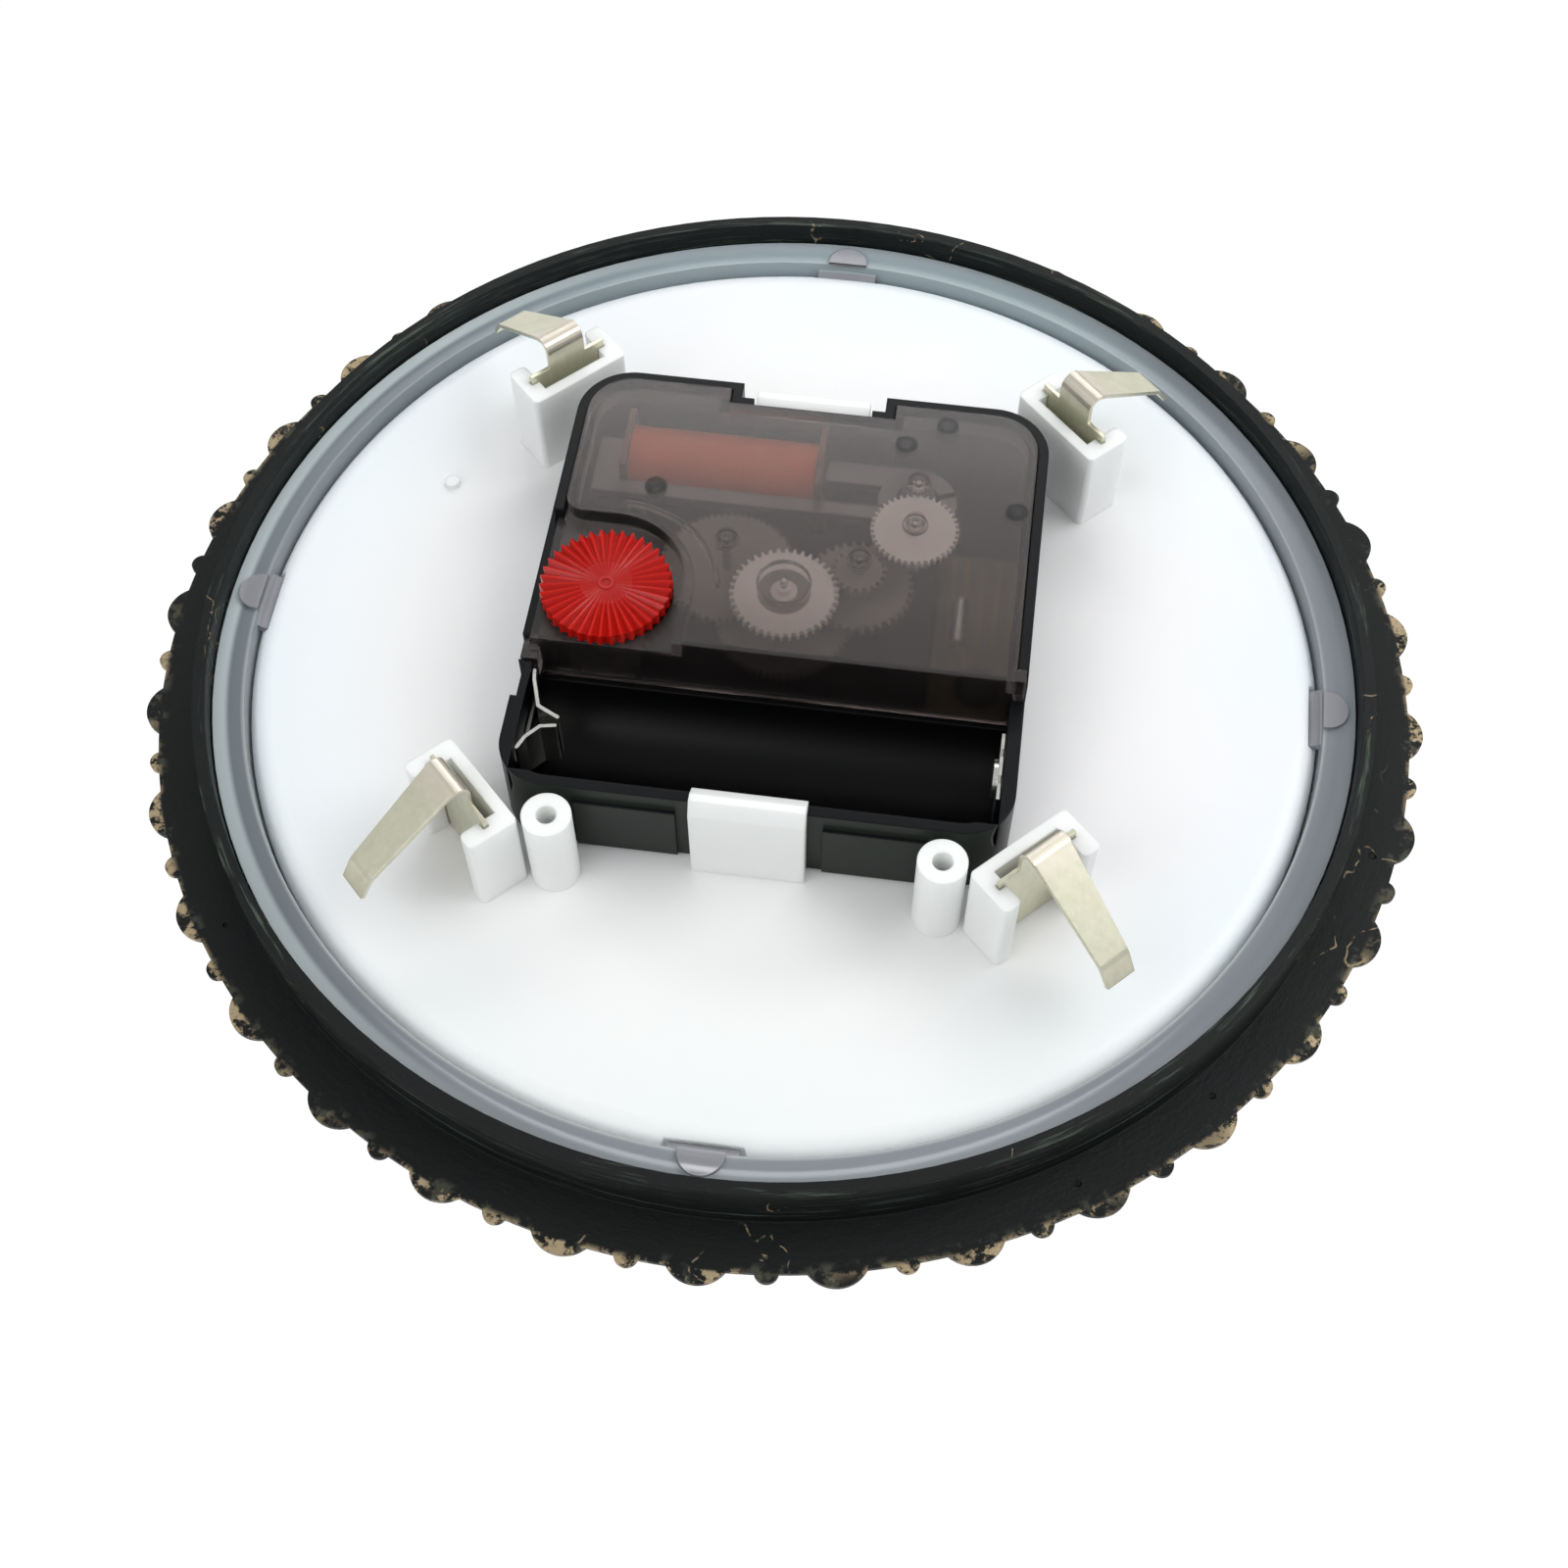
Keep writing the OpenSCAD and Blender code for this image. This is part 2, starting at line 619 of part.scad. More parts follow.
// Gaps in the side walls where the cover's corners reach the outside, grown by g
module corner_gaps(g) {
    translate([bay_in + 0.2 - g, wall_y - g, bay_h + slip_gap - g])
        cube([half - bay_in + 2 * g - 0.4, part_t + 0.4 + 2 * g, cover_h - bay_h]);
    translate([-half + 0.2 - 3 * g, wall_y - 1.6 - g, part_h + 2 - g])
        cube([1.9 + 4 * g, 2.6 + 2 * g, bay_h - part_h - 1.7 + 20 * g]);
}
module movement_case() color("#202024") {
    on_plate() {
        difference() {
            union() {
                linear_extrude(bay_h) case_plan(0, 0);
                linear_extrude(pocket_wall_h) plan_above(wall_y, 0, 0);
                linear_extrude(case_h) difference() {
                    plan_above(wall_y, 0, left_inset);
                    pocket_plan(0);
                }
            }
            // room for the mechanism and for the cover's front wall
            translate([0, 0, floor_t]) linear_extrude(cover_h)
                plan_above(wall_y + part_t, case_wall, left_inset);
            translate([0, 0, part_h]) linear_extrude(cover_h)
                plan_above(mouth_y, case_wall, left_inset);
            bay_cut();
            corner_gaps(slip_gap);
            // the left wall steps in beside the battery's contact
            translate([-half - 1, cell_y + 1.6, part_h]) cube([1.7, 4.7, bay_h]);
            // slots beside the latch, the cover's snap and the upper latch's hold
            for (s = [-1, 1]) translate([s * 18.6 - 1.7, -half - 1, 1.6]) cube([3.4, 1.8, 6.6]);
            translate([half - case_wall - 1, 1.2, bay_h + 0.3]) cube([case_wall + 2, 6.8, 1.6]);
            translate([-shelf_w / 2 - 0.3, half - recess_d - case_wall - 1, case_h - shelf_in])
                cube([shelf_w + 0.6, case_wall + 2, shelf_in + 1]);
            bar(boss_bore_r, -centre_boss_l - 1, floor_t + 1);
        }
        // centre boss through the plate
        ring(centre_boss_r, boss_bore_r, -centre_boss_l, eps);
        // raised panels on the bay's outer wall
        for (s = [-1, 1]) translate([s * 13.6 - 5.6, -half - 0.5, 0.4]) cube([11.2, 0.9, bay_h - 2.6]);
        // stud for the minute work, seat of the set arbor and pillars for the mid plate
        translate(work_at) bar(0.9, floor_t - eps, work_lv[1] + 0.4);
        translate(knob_at) ring(2.6, set_arbor_r * 0.6 + run_gap, floor_t - eps, floor_t + 0.8);
        for (p = pillars) translate(p) bar(pillar_r, floor_t - eps, mid_lv[0]);
        for (x = [board_at[0] + 1.2, board_at[0] + board_size[0] - 1.2])
            for (y = [board_at[1] + 1.2, board_at[1] + board_size[1] - 1.2])
                translate([x, y]) bar(0.9, floor_t - eps, board_lv[0]);
        // cradles under the coil's flanges
        for (x = [coil_x0, coil_x0 + coil_len])
            translate([x - 1, coil_y - plan * 3, floor_t - eps])
                cube([2, plan * 6, coil_z - coil_end_w / 2 - floor_t + eps]);
    }
}

// Movement cover: smoky lid with a lowered corner for the knob
module movement_cover() color("#4a4542", 0.45) {
    i = case_wall + slip_gap;
    on_plate() difference() {
        union() {
            difference() {
                translate([0, 0, cover_under - skirt_h]) linear_extrude(skirt_h + cover_t)
                    plan_above(wall_y, i, left_inset);
                translate([0, 0, cover_under - skirt_h - 1]) linear_extrude(skirt_h + 1) difference() {
                    plan_above(wall_y + cover_t, i + cover_t, left_inset);
                    pocket_plan(cover_t);
                }
            }
            // floor of the lowered corner, which rests on the case's wall
            translate([0, 0, pocket_wall_h]) linear_extrude(cover_t) intersection() {
                translate([-pocket_left, wall_y]) square([2 * pocket_left, move_w]);
                pocket_plan(0);
            }
            // front wall down to the case's partition
            translate([0, 0, part_h + slip_gap]) linear_extrude(cover_h - part_h - slip_gap)
                intersection() {
                    plan_above(wall_y, i, left_inset);
                    translate([-half, wall_y]) square([move_w, cover_t]);
                }
            corner_gaps(0);
            // cups and posts under the lid, and the rib round the knob
            translate(axis_at) bar(centre_cup_r, seconds_lv[1] + 1.0, cover_h - eps);
            for (p = pivots) translate(p) bar(cup_r, cover_under - 0.5, cover_h - eps);
            for (p = lid_posts) translate(p) bar(0.9, cover_under - 1.2, cover_h - eps);
            intersection() {
                translate(knob_at) ring(lid_rib_r, lid_rib_r - lid_rib_t,
                                        cover_under - lid_rib_h, cover_h - eps);
                translate([knob_at[0], knob_at[1] + 2, 0]) cube([half, half, cover_h]);
            }
        }
        translate([0, 0, pocket_floor]) linear_extrude(cover_h) pocket_plan(0);
        translate(knob_at) bar(set_arbor_r + run_gap, 0, cover_h);
        for (p = concat([axis_at], pivots)) translate(p) bar(pivot_r + run_gap, 0, pivot_bore);
    }
}

// Mid plate between the motion work and the time train
module mid_plate() color("#2c2c30") {
    on_plate() difference() {
        translate([0, 0, mid_lv[0]]) linear_extrude(mid_lv[1] - mid_lv[0]) {
            rounded(mid_body[0], mid_low, mid_body[1], mid_body[2], 2, 2);
            rounded(mid_arm[0], mid_arm[1], mid_body[1], mid_arm[2], 2, 2);
        }
        translate(axis_at) bar(minute_pipe_r + 0.3, 0, cover_h);
        for (p = pivots) translate(p) bar(pivot_r + run_gap, 0, cover_h);
    }
}

// Battery contacts: bent strips against the bay's two ends
module strip(pts) {
    for (k = [0:len(pts) - 1]) translate(pts[k]) {
        circle(contact_t / 2, $fn = 24);
        if (k < len(pts) - 1) rotate(toward(pts[k], pts[k + 1]))
            translate([0, -contact_t / 2]) square([between(pts[k], pts[k + 1]), contact_t]);
    }
}
module negative_contact() color("#c9c7c0") {
    x0 = -bay_in + contact_t / 2 + slip_gap;
    on_plate() translate([x0, cell_y, floor_t + 3]) {
        linear_extrude(3.2) strip([[0, 5.6], [0, -4.6]]);
        linear_extrude(bay_h - floor_t - 3.6) {
            strip([[0, 5.6], [0.2, 4.4], [1.3, 1.0], [3.7, -0.2]]);
            strip([[0, -4.6], [0.6, -3.2], [2.0, -1.6], [3.6, -1.3]]);
        }
    }
}
module positive_contact() color("#c9c7c0") {
    x1 = bay_in - slip_gap;
    on_plate() difference() {
        union() {
            translate([x1 - contact_t, cell_y - 4.2, floor_t + 2.4])
                cube([contact_t, 8.4, bay_h - floor_t - 3.0]);
            translate([x1 - contact_t - 0.5, cell_y, cell_z - 1]) rotate([0, 90, 0])
                cylinder(r = 2.2, h = 0.6);
        }
        for (s = [-1, 1]) translate([x1 - 1, cell_y + s * 1.7 - 0.5, bay_h - 1.5]) cube([2, 1, 2]);
    }
}

// Motor: bobbin, winding, core and the two pole pieces
module coil_bobbin() color("#e8e2d0") {
    on_plate() translate([0, coil_y, coil_z]) difference() {
        union() {
            for (x = [coil_x0 - coil_end_t, coil_x0 + coil_len])
                translate([x, -coil_end_w / 2, -coil_end_w / 2])
                    cube([coil_end_t, coil_end_w, coil_end_w]);
            translate([coil_x0 - eps, -sleeve_w / 2, -sleeve_h / 2])
                cube([coil_len + 2 * eps, sleeve_w, sleeve_h]);
        }
        translate([coil_x0 - 5, -core_w / 2 - slip_gap, -(core_lv[1] - core_lv[0]) / 2 - slip_gap])
            cube([coil_len + core_past, core_w + 2 * slip_gap, core_lv[1] - core_lv[0] + 2 * slip_gap]);
    }
}
module coil_winding() color("#b8602c") {
    on_plate() translate([coil_x0, coil_y, coil_z]) difference() {
        rotate([0, 90, 0]) cylinder(d = winding_d, h = coil_len);
        translate([-1, -sleeve_w / 2 - eps, -sleeve_h / 2 - eps])
            cube([coil_len + 2, sleeve_w + 2 * eps, sleeve_h + 2 * eps]);
    }
}
module coil_core() color("#8d8f92") {
    on_plate() translate([core_x0, coil_y - core_w / 2, core_lv[0]])
        cube([core_x1 - core_x0, core_w, core_lv[1] - core_lv[0]]);
}
module stator_half(side) {
    translate([0, 0, stator_lv[0]]) linear_extrude(stator_lv[1] - stator_lv[0]) difference() {
        union() {
            intersection() {
                translate(rotor_at) circle(pole_r);
                translate(rotor_at) rotate(side > 0 ? 20 : 200)
                    translate([-pole_r - 1, pole_gap]) square([2 * pole_r + 2, pole_r + 2]);
            }
            children();
        }
        translate(rotor_at) circle(rotor_hole_r);
    }
}
module stator_long() color("#9a9c9f") {
    on_plate() stator_half(-1) {
        translate([core_x0, stator_arm[0]])
            square([core_w, coil_y + core_w / 2 - stator_arm[0]]);
        translate([core_x0, stator_arm[0]])
            square([rotor_at[0] - plan * 3.2 - core_x0, stator_arm[1] - stator_arm[0]]);
    }
}
module stator_short() color("#9a9c9f") {
    on_plate() stator_half(1) {
        translate([core_x1 - core_w, coil_y - core_w / 2])
            square([rotor_at[0] - core_x1 + core_w, core_w]);
    }
}
module rotor_magnet() color("#55565a") {
    on_plate() translate(rotor_at) ring(magnet_r, arbor_r, magnet_lv[0], magnet_lv[1]);
}
module rotor_pinion() color("#e9e4d8") {
    on_plate() translate(rotor_at) {
        teeth(rotor_n, rotor_m, rotor_pin_lv, toward(rotor_at, sixth_at));
        arbor(arbor_r);
    }
}

// Circuit board with its quartz can and chip
module circuit_board() color("#8a5a2b") {
    on_plate() translate([board_at[0], board_at[1], board_lv[0]])
        cube([board_size[0], board_size[1], board_lv[1] - board_lv[0]]);
}
module quartz_can() color("#c8c9cb") {
    on_plate() translate([board_at[0] + can_at[0], board_at[1] + can_at[1], board_lv[1] + can_r])
        rotate([-90, 0, 0]) cylinder(r = can_r, h = can_l);
}
module chip_cap() color("#18181a") {
    on_plate() translate([board_at[0] + chip_at[0], board_at[1] + chip_at[1], board_lv[1]])
        cylinder(r1 = 2.6, r2 = 1.6, h = 1.1);
}

// Seconds train
module sixth_wheel() color("#ece7da") {
    turn = mesh(rotor_at, sixth_at, rotor_n, toward(rotor_at, sixth_at), sixth_n);
    on_plate() translate(sixth_at) {
        teeth(sixth_n, rotor_m, sixth_lv, turn);
        teeth(sixth_pin_n, sixth_m, sixth_pin_lv, toward(sixth_at, fifth_at));
        arbor(0.8);
    }
}
module fifth_wheel() color("#ece7da") {
    turn = mesh(sixth_at, fifth_at, sixth_pin_n, toward(sixth_at, fifth_at), fifth_n);
    on_plate() translate(fifth_at) {
        teeth(fifth_n, sixth_m, fifth_lv, turn);
        teeth(fifth_pin_n, fifth_m, fifth_pin_lv, toward(fifth_at, axis_at));
        arbor(0.8);
    }
}
module seconds_wheel() color("#f4f2ec") {
    turn = mesh(fifth_at, axis_at, fifth_pin_n, toward(fifth_at, axis_at), seconds_n);
    on_plate() {
        teeth(seconds_n, fifth_m, seconds_lv, turn);
        teeth(seconds_pin_n, third_m, seconds_pin_lv, toward(axis_at, third_at));
        turned(second_hand_z, [[shaft_r, centre_lv[1] + 0.35], [0.75, seconds_lv[1] + 0.7],
                               [pivot_r, pivot_end]]);
    }
}
module third_wheel() color("#ece7da") {
    turn = mesh(axis_at, third_at, seconds_pin_n, toward(axis_at, third_at), third_n);
    on_plate() translate(third_at) {
        teeth(third_n, third_m, third_lv, turn);
        teeth(third_pin_n, centre_m, third_pin_lv, toward(third_at, axis_at));
        arbor(arbor_r);
    }
}
// Wheel that slips on the cannon's pipe when the hands are set
module centre_wheel() color("#f4f2ec") {
    turn = mesh(third_at, axis_at, third_pin_n, toward(third_at, axis_at), centre_n);
    on_plate() difference() {
        teeth(centre_n, centre_m, centre_lv, turn);
        bar(minute_pipe_r + run_gap, 0, cover_h);
    }
}

// Motion work and hands
module cannon_pinion() color("#d8b65a") {
    on_plate() difference() {
        union() {
            teeth(cannon_n, work_m, cannon_lv, toward(axis_at, work_at));
            bar(minute_pipe_r, minute_hand_z, centre_lv[1] + 0.2);
        }
        bar(shaft_r + run_gap, minute_hand_z - 1, cover_h);
    }
}
module minute_work_wheel() color("#ece7da") {
    turn = mesh(axis_at, work_at, cannon_n, toward(axis_at, work_at), work_n);
    on_plate() translate(work_at) difference() {
        union() {
            teeth(work_n, work_m, work_lv, turn);
            teeth(work_pin_n, hour_m, work_pin_lv, toward(work_at, axis_at));
        }
        bar(0.9 + run_gap, 0, cover_h);
    }
}
module hour_wheel() color("#ece7da") {
    turn = mesh(work_at, axis_at, work_pin_n, toward(work_at, axis_at), hour_n);
    on_plate() difference() {
        union() {
            teeth(hour_n, hour_m, hour_lv, turn);
            bar(hour_pipe_r, hour_hand_z, hour_lv[0] + eps);
        }
        bar(minute_pipe_r + run_gap, hour_hand_z - 1, cover_h);
    }
}
module set_arbor() color("#ece7da") {
    work_turn = mesh(axis_at, work_at, cannon_n, toward(axis_at, work_at), work_n);
    turn = mesh(work_at, knob_at, work_n, work_turn, knob_n);
    on_plate() translate(knob_at) {
        teeth(knob_n, work_m, [work_lv[0], work_lv[1]], turn);
        turned(floor_t + 0.1, [[set_arbor_r * 0.6, floor_t + 1.1], [2.2, work_lv[1] + 0.6],
                               [set_arbor_r, knob_z + knob_t - knob_web]]);
    }
}
knob_web = 0.7;
flute_count = 38;
flute_d = 0.45;
flute_fall = 0.6;
disc_r = 2.9;
// Set knob: ridges with a sharp crest run from a flat disc to a zigzag rim
module fluted_disc() {
    n = flute_count;
    step = 360 / n;
    // four rings of points: crests and valleys in turn
    rim = [for (k = [0:2 * n - 1]) k % 2 == 0 ? knob_r : knob_r - flute_d];
    top = [for (k = [0:2 * n - 1]) k % 2 == 0 ? knob_t : knob_t - flute_fall];
    hub = [for (k = [0:2 * n - 1]) k % 2 == 0 ? knob_t : knob_t - 0.2];
    m = 2 * n;
    pts = concat([for (k = [0:m - 1]) concat(polar(rim[k], k * step / 2), [0])],
                 [for (k = [0:m - 1]) concat(polar(rim[k], k * step / 2), [top[k]])],
                 [for (k = [0:m - 1]) concat(polar(disc_r, k * step / 2), [hub[k]])],
                 [[0, 0, knob_t - 0.2]]);
    faces = concat([[for (k = [0:m - 1]) k]],
                   [for (k = [0:m - 1]) let(j = (k + 1) % m) [k, m + k, m + j, j]],
                   [for (k = [0:m - 1]) let(j = (k + 1) % m, d = k % 2 == 0)
                       d ? [m + k, 2 * m + k, 2 * m + j] : [m + k, 2 * m + k, m + j]],
                   [for (k = [0:m - 1]) let(j = (k + 1) % m, d = k % 2 == 0)
                       d ? [m + k, 2 * m + j, m + j] : [2 * m + k, 2 * m + j, m + j]],
                   [for (k = [0:m - 1]) let(j = (k + 1) % m) [2 * m + k, 3 * m, 2 * m + j]]);
    polyhedron(pts, faces);
}
module set_knob() color("#d92419") {
    on_plate() translate([knob_at[0], knob_at[1], knob_z]) difference() {
        union() {
            fluted_disc();
            ring(0.9, 0.55, knob_t - 0.5, knob_t - 0.05);
        }
        bar(set_arbor_r, -1, knob_t - knob_web);
    }
}

// Hands: cut from sheet, pressed on their pipes
module hand(angle, z, hole_r, hub_r) {
    on_plate() translate([0, 0, z]) rotate([0, 0, angle]) difference() {
        union() {
            cylinder(r = hub_r, h = hand_t);
            linear_extrude(hand_t) children();
        }
        translate([0, 0, -1]) cylinder(r = hole_r, h = hand_t + 2);
    }
}
module spade(l, w, tail) {
    polygon([[-w * 0.35, -tail], [w * 0.35, -tail], [w * 0.3, 0], [w * 0.28, l * 0.55],
             [w * 0.75, l * 0.68], [w * 0.2, l * 0.82], [0.25, l], [-0.25, l],
             [-w * 0.2, l * 0.82], [-w * 0.75, l * 0.68], [-w * 0.28, l * 0.55], [-w * 0.3, 0]]);
}
module hour_hand() color("#141414") {
    hand(hour_rest, hour_hand_z, hour_pipe_r, hour_hub_r)
        spade(hour_hand_l, hour_hand_w, hour_tail);
}
module minute_hand() color("#141414") {
    hand(minute_rest, minute_hand_z, minute_pipe_r, minute_hub_r)
        spade(minute_hand_l, minute_hand_w, minute_tail);
}
module second_hand() color("#141414") {
    hand(second_rest, second_hand_z, shaft_r, second_hub_r)
        polygon([[-0.7, -second_tail], [0.7, -second_tail],
                 [0.3, second_hand_l], [-0.3, second_hand_l]]);
}

bezel();
lens();
dial_plate();
dial_face();
movement_case();
movement_cover();
mid_plate();
spring_clip(1);  // spring_clip_1
spring_clip(2);  // spring_clip_2
spring_clip(3);  // spring_clip_3
spring_clip(4);  // spring_clip_4
negative_contact();
positive_contact();
coil_bobbin();
coil_winding();
coil_core();
stator_long();
stator_short();
circuit_board();
quartz_can();
chip_cap();
rotor_magnet();
rotor_pinion();
sixth_wheel();
fifth_wheel();
seconds_wheel();
second_hand();
third_wheel();
centre_wheel();
cannon_pinion();
minute_hand();
minute_work_wheel();
hour_wheel();
hour_hand();
set_arbor();
set_knob();
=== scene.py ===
import bpy
import math
from mathutils import Matrix, Vector


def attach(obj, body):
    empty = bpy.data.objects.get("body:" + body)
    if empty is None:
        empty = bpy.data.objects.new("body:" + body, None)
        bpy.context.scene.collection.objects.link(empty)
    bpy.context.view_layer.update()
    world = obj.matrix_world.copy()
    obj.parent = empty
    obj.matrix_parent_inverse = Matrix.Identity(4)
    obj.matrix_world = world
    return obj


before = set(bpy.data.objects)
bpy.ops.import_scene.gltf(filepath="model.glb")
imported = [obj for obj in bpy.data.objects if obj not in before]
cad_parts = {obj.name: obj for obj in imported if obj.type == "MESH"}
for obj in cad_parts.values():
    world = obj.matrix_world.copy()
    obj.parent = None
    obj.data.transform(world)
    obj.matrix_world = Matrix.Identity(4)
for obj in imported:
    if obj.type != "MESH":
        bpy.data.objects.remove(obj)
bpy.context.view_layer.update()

# Bezel. The black ring that stays in front of the panel, with the collar behind it. It is
# moulded in one piece with a rope of large and small beads round its edge, painted black by
# hand over bronze, so that the bronze shows through in flecks along the outer edges.

per_m = 1000             # millimetres in a metre; the lengths below are in millimetres


class Finish:
    """A procedural material: each method adds shader nodes and returns their output socket.
    Lengths are in millimetres, on the object's own coordinates."""

    seed_shift = (7.3, 3.1, 5.7)

    def __init__(self, name, *pieces):
        self.mat = bpy.data.materials.new(name)
        self.mat.use_nodes = True
        self.tree = self.mat.node_tree
        self.bsdf = self.tree.nodes["Principled BSDF"]
        self.out = self.tree.nodes["Material Output"]
        metres = self.node("TexCoord").outputs["Object"]
        self.place = self.node("VectorMath", {0: metres, "Scale": per_m},
                               operation="SCALE").outputs[0]
        self.x, self.y, self.z = self.node("SeparateXYZ", {0: self.place}).outputs
        for piece in pieces:
            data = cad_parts[piece].data
            data.materials.clear()
            data.materials.append(self.mat)

    def put(self, socket, value):
        if isinstance(value, bpy.types.NodeSocket):
            self.tree.links.new(value, socket)
        elif isinstance(value, tuple) and socket.type == "RGBA":
            socket.default_value = (*value, 1.0)
        else:
            socket.default_value = value

    def node(self, kind, inputs=None, **settings):
        n = self.tree.nodes.new("ShaderNode" + kind)
        for key, setting in settings.items():
            setattr(n, key, setting)
        for key, value in (inputs or {}).items():
            self.put(n.inputs[key], value)
        return n

    def set(self, **inputs):
        for key, value in inputs.items():
            self.put(self.bsdf.inputs[key.replace("_", " ")], value)

    def math(self, operation, a, b=0.0, c=0.0):
        return self.node("Math", {0: a, 1: b, 2: c}, operation=operation).outputs[0]

    def chain(self, operation, first, *others):
        for other in others:
            first = self.math(operation, first, other)
        return first

    def times(self, *values):
        return self.chain("MULTIPLY", *values)

    def plus(self, *values):
        return self.chain("ADD", *values)

    def either(self, *values):
        """The largest of the values."""
        return self.chain("MAXIMUM", *values)

    def away(self, x=0.0, y=0.0):
        """Distance from an upright line."""
        dx = self.math("SUBTRACT", self.x, x)
        dy = self.math("SUBTRACT", self.y, y)
        return self.math("SQRT", self.plus(self.times(dx, dx), self.times(dy, dy)))

    def angle(self):
        return self.math("DEGREES", self.math("ARCTAN2", self.y, self.x))

    def round_place(self, along=1.0):
        """Coordinates that run round the axis, so that a pattern follows the ring."""
        return self.node("CombineXYZ", {0: self.away(), 1: self.times(self.angle(), along),
                                        2: self.z}).outputs[0]

    def facing(self, axis=2):
        """How far the surface faces along an axis, from -1 to 1."""
        normal = self.node("NewGeometry").outputs["Normal"]
        return self.node("SeparateXYZ", {0: normal}).outputs[axis]

    def noise(self, size, detail=3.0, rough=0.55, seed=0.0, place=None, stretch=(1, 1, 1)):
        """Soft patches about as large as the size."""
        spot = self.node("Mapping", {"Vector": place or self.place,
                                     "Scale": tuple(v / size for v in stretch),
                                     "Location": tuple(seed * v for v in self.seed_shift)})
        return self.node("TexNoise", {"Vector": spot.outputs[0], "Scale": 1.0, "Detail": detail,
                                      "Roughness": rough}).outputs["Fac"]

    def step(self, value, low, high):
        """0 at low and 1 at high, smooth between."""
        return self.node("MapRange", {"Value": value, "From Min": low, "From Max": high},
                         interpolation_type="SMOOTHSTEP").outputs[0]

    def span(self, value, low, high):
        """low where the value is 0, high where it is 1."""
        return self.node("MapRange", {"Value": value, "To Min": low, "To Max": high}).outputs[0]

    def mix(self, fac, a, b):
        """Colour a where fac is 0, colour b where it is 1."""
        return self.node("Mix", {0: fac, 6: a, 7: b}, data_type="RGBA").outputs[2]

    def soft_edge(self, radius):
        """A normal that rounds sharp edges over the given radius."""
        return self.node("Bevel", {"Radius": radius / per_m}, samples=6).outputs[0]

    def bump(self, height, depth, normal=None):
        relief = {"Height": height, "Strength": 1.0, "Distance": depth / per_m}
        if normal is not None:
            relief["Normal"] = normal
        return self.node("Bump", relief).outputs[0]


bead_count = 32
bead_turn = 0.7          # degrees from three o'clock to the first large bead
large_bead_at, large_bead_r = 71.35, 3.65
small_bead_at, small_bead_r = 73.1, 1.3
flange_edge_r = 73.4
collar_out_r = 68.0
pinholes = ((69.0, -16.0, 0.50), (-56.5, -41.8, 0.42), (38.6, -59.2, 0.42),
            (52.0, -47.6, 0.42), (-66.0, 24.3, 0.42))        # x, y, radius

paint = Finish("bezel_black", "bezel")
ring_r = paint.away()
strokes = paint.noise(1.1, 5, 0.7, place=paint.round_place(1.2), stretch=(1.6, 0.5, 1))
stipple = paint.noise(0.35, 4, 0.7, seed=2)
pools = paint.noise(9, 2, 0.5, seed=4)


def bead_distance(at, shift):
    """Distance from the nearest bead's middle, measured in the ring's plane."""
    step = 360 / bead_count
    turn = paint.math("SUBTRACT", paint.angle(), bead_turn + shift * step)
    turn = paint.math("RADIANS", paint.math("WRAP", turn, step / 2, -step / 2))
    out = paint.math("SUBTRACT", paint.times(ring_r, paint.math("COSINE", turn)), at)
    side = paint.times(ring_r, paint.math("SINE", turn))
    return paint.math("SQRT", paint.plus(paint.times(out, out), paint.times(side, side)))


# handling wore the black off the beads' rims and the ring's upper side
to_large = bead_distance(large_bead_at, 0.0)
to_small = bead_distance(small_bead_at, 0.5)
large_rim = paint.times(paint.step(to_large, large_bead_r - 0.55, large_bead_r - 0.1),
                        paint.step(ring_r, flange_edge_r - 0.6, flange_edge_r + 0.4))
small_rim = paint.times(paint.step(to_small, small_bead_r - 0.35, small_bead_r),
                        paint.step(ring_r, flange_edge_r - 0.1, flange_edge_r + 0.3))
edge_on = paint.times(paint.step(ring_r, flange_edge_r - 0.4, flange_edge_r + 0.2),
                      paint.step(paint.math("ABSOLUTE", paint.facing()), 0.95, 0.7))
upper_side = paint.times(edge_on, paint.step(paint.z, -0.9, -0.3))
bare_bead = paint.times(edge_on, paint.step(paint.noise(8, 1, 0.5, seed=21), 0.54, 0.62), 0.40)
worn = paint.step(paint.noise(1.6, 4, 0.7, seed=5), 0.46, 0.56)
patchy = paint.step(paint.noise(13, 2, 0.5, seed=9), 0.38, 0.55)
fleck = paint.times(paint.either(large_rim, small_rim, upper_side, bare_bead), worn, patchy)
# a few threads of bronze run from the collar's foot across the flange
vein = paint.math("ABSOLUTE", paint.math("SUBTRACT", paint.noise(7, 2, 0.5, seed=13), 0.5))
thread = paint.times(paint.step(vein, 0.009, 0.002),
                     paint.step(paint.noise(16, 1, 0.5, seed=15), 0.62, 0.66),
                     paint.step(paint.noise(0.9, 2, 0.5, seed=16), 0.45, 0.60), 0.7)
# the front was never painted black all over: bronze stays on the beads and the moulding
front = paint.step(paint.facing(), -0.15, -0.4)
rubbed = paint.step(paint.noise(3.0, 4, 0.6, seed=7), 0.34, 0.66)
bronze_left = paint.times(front, paint.span(rubbed, 0.45, 1.0))
shine = paint.either(fleck, bronze_left, thread)

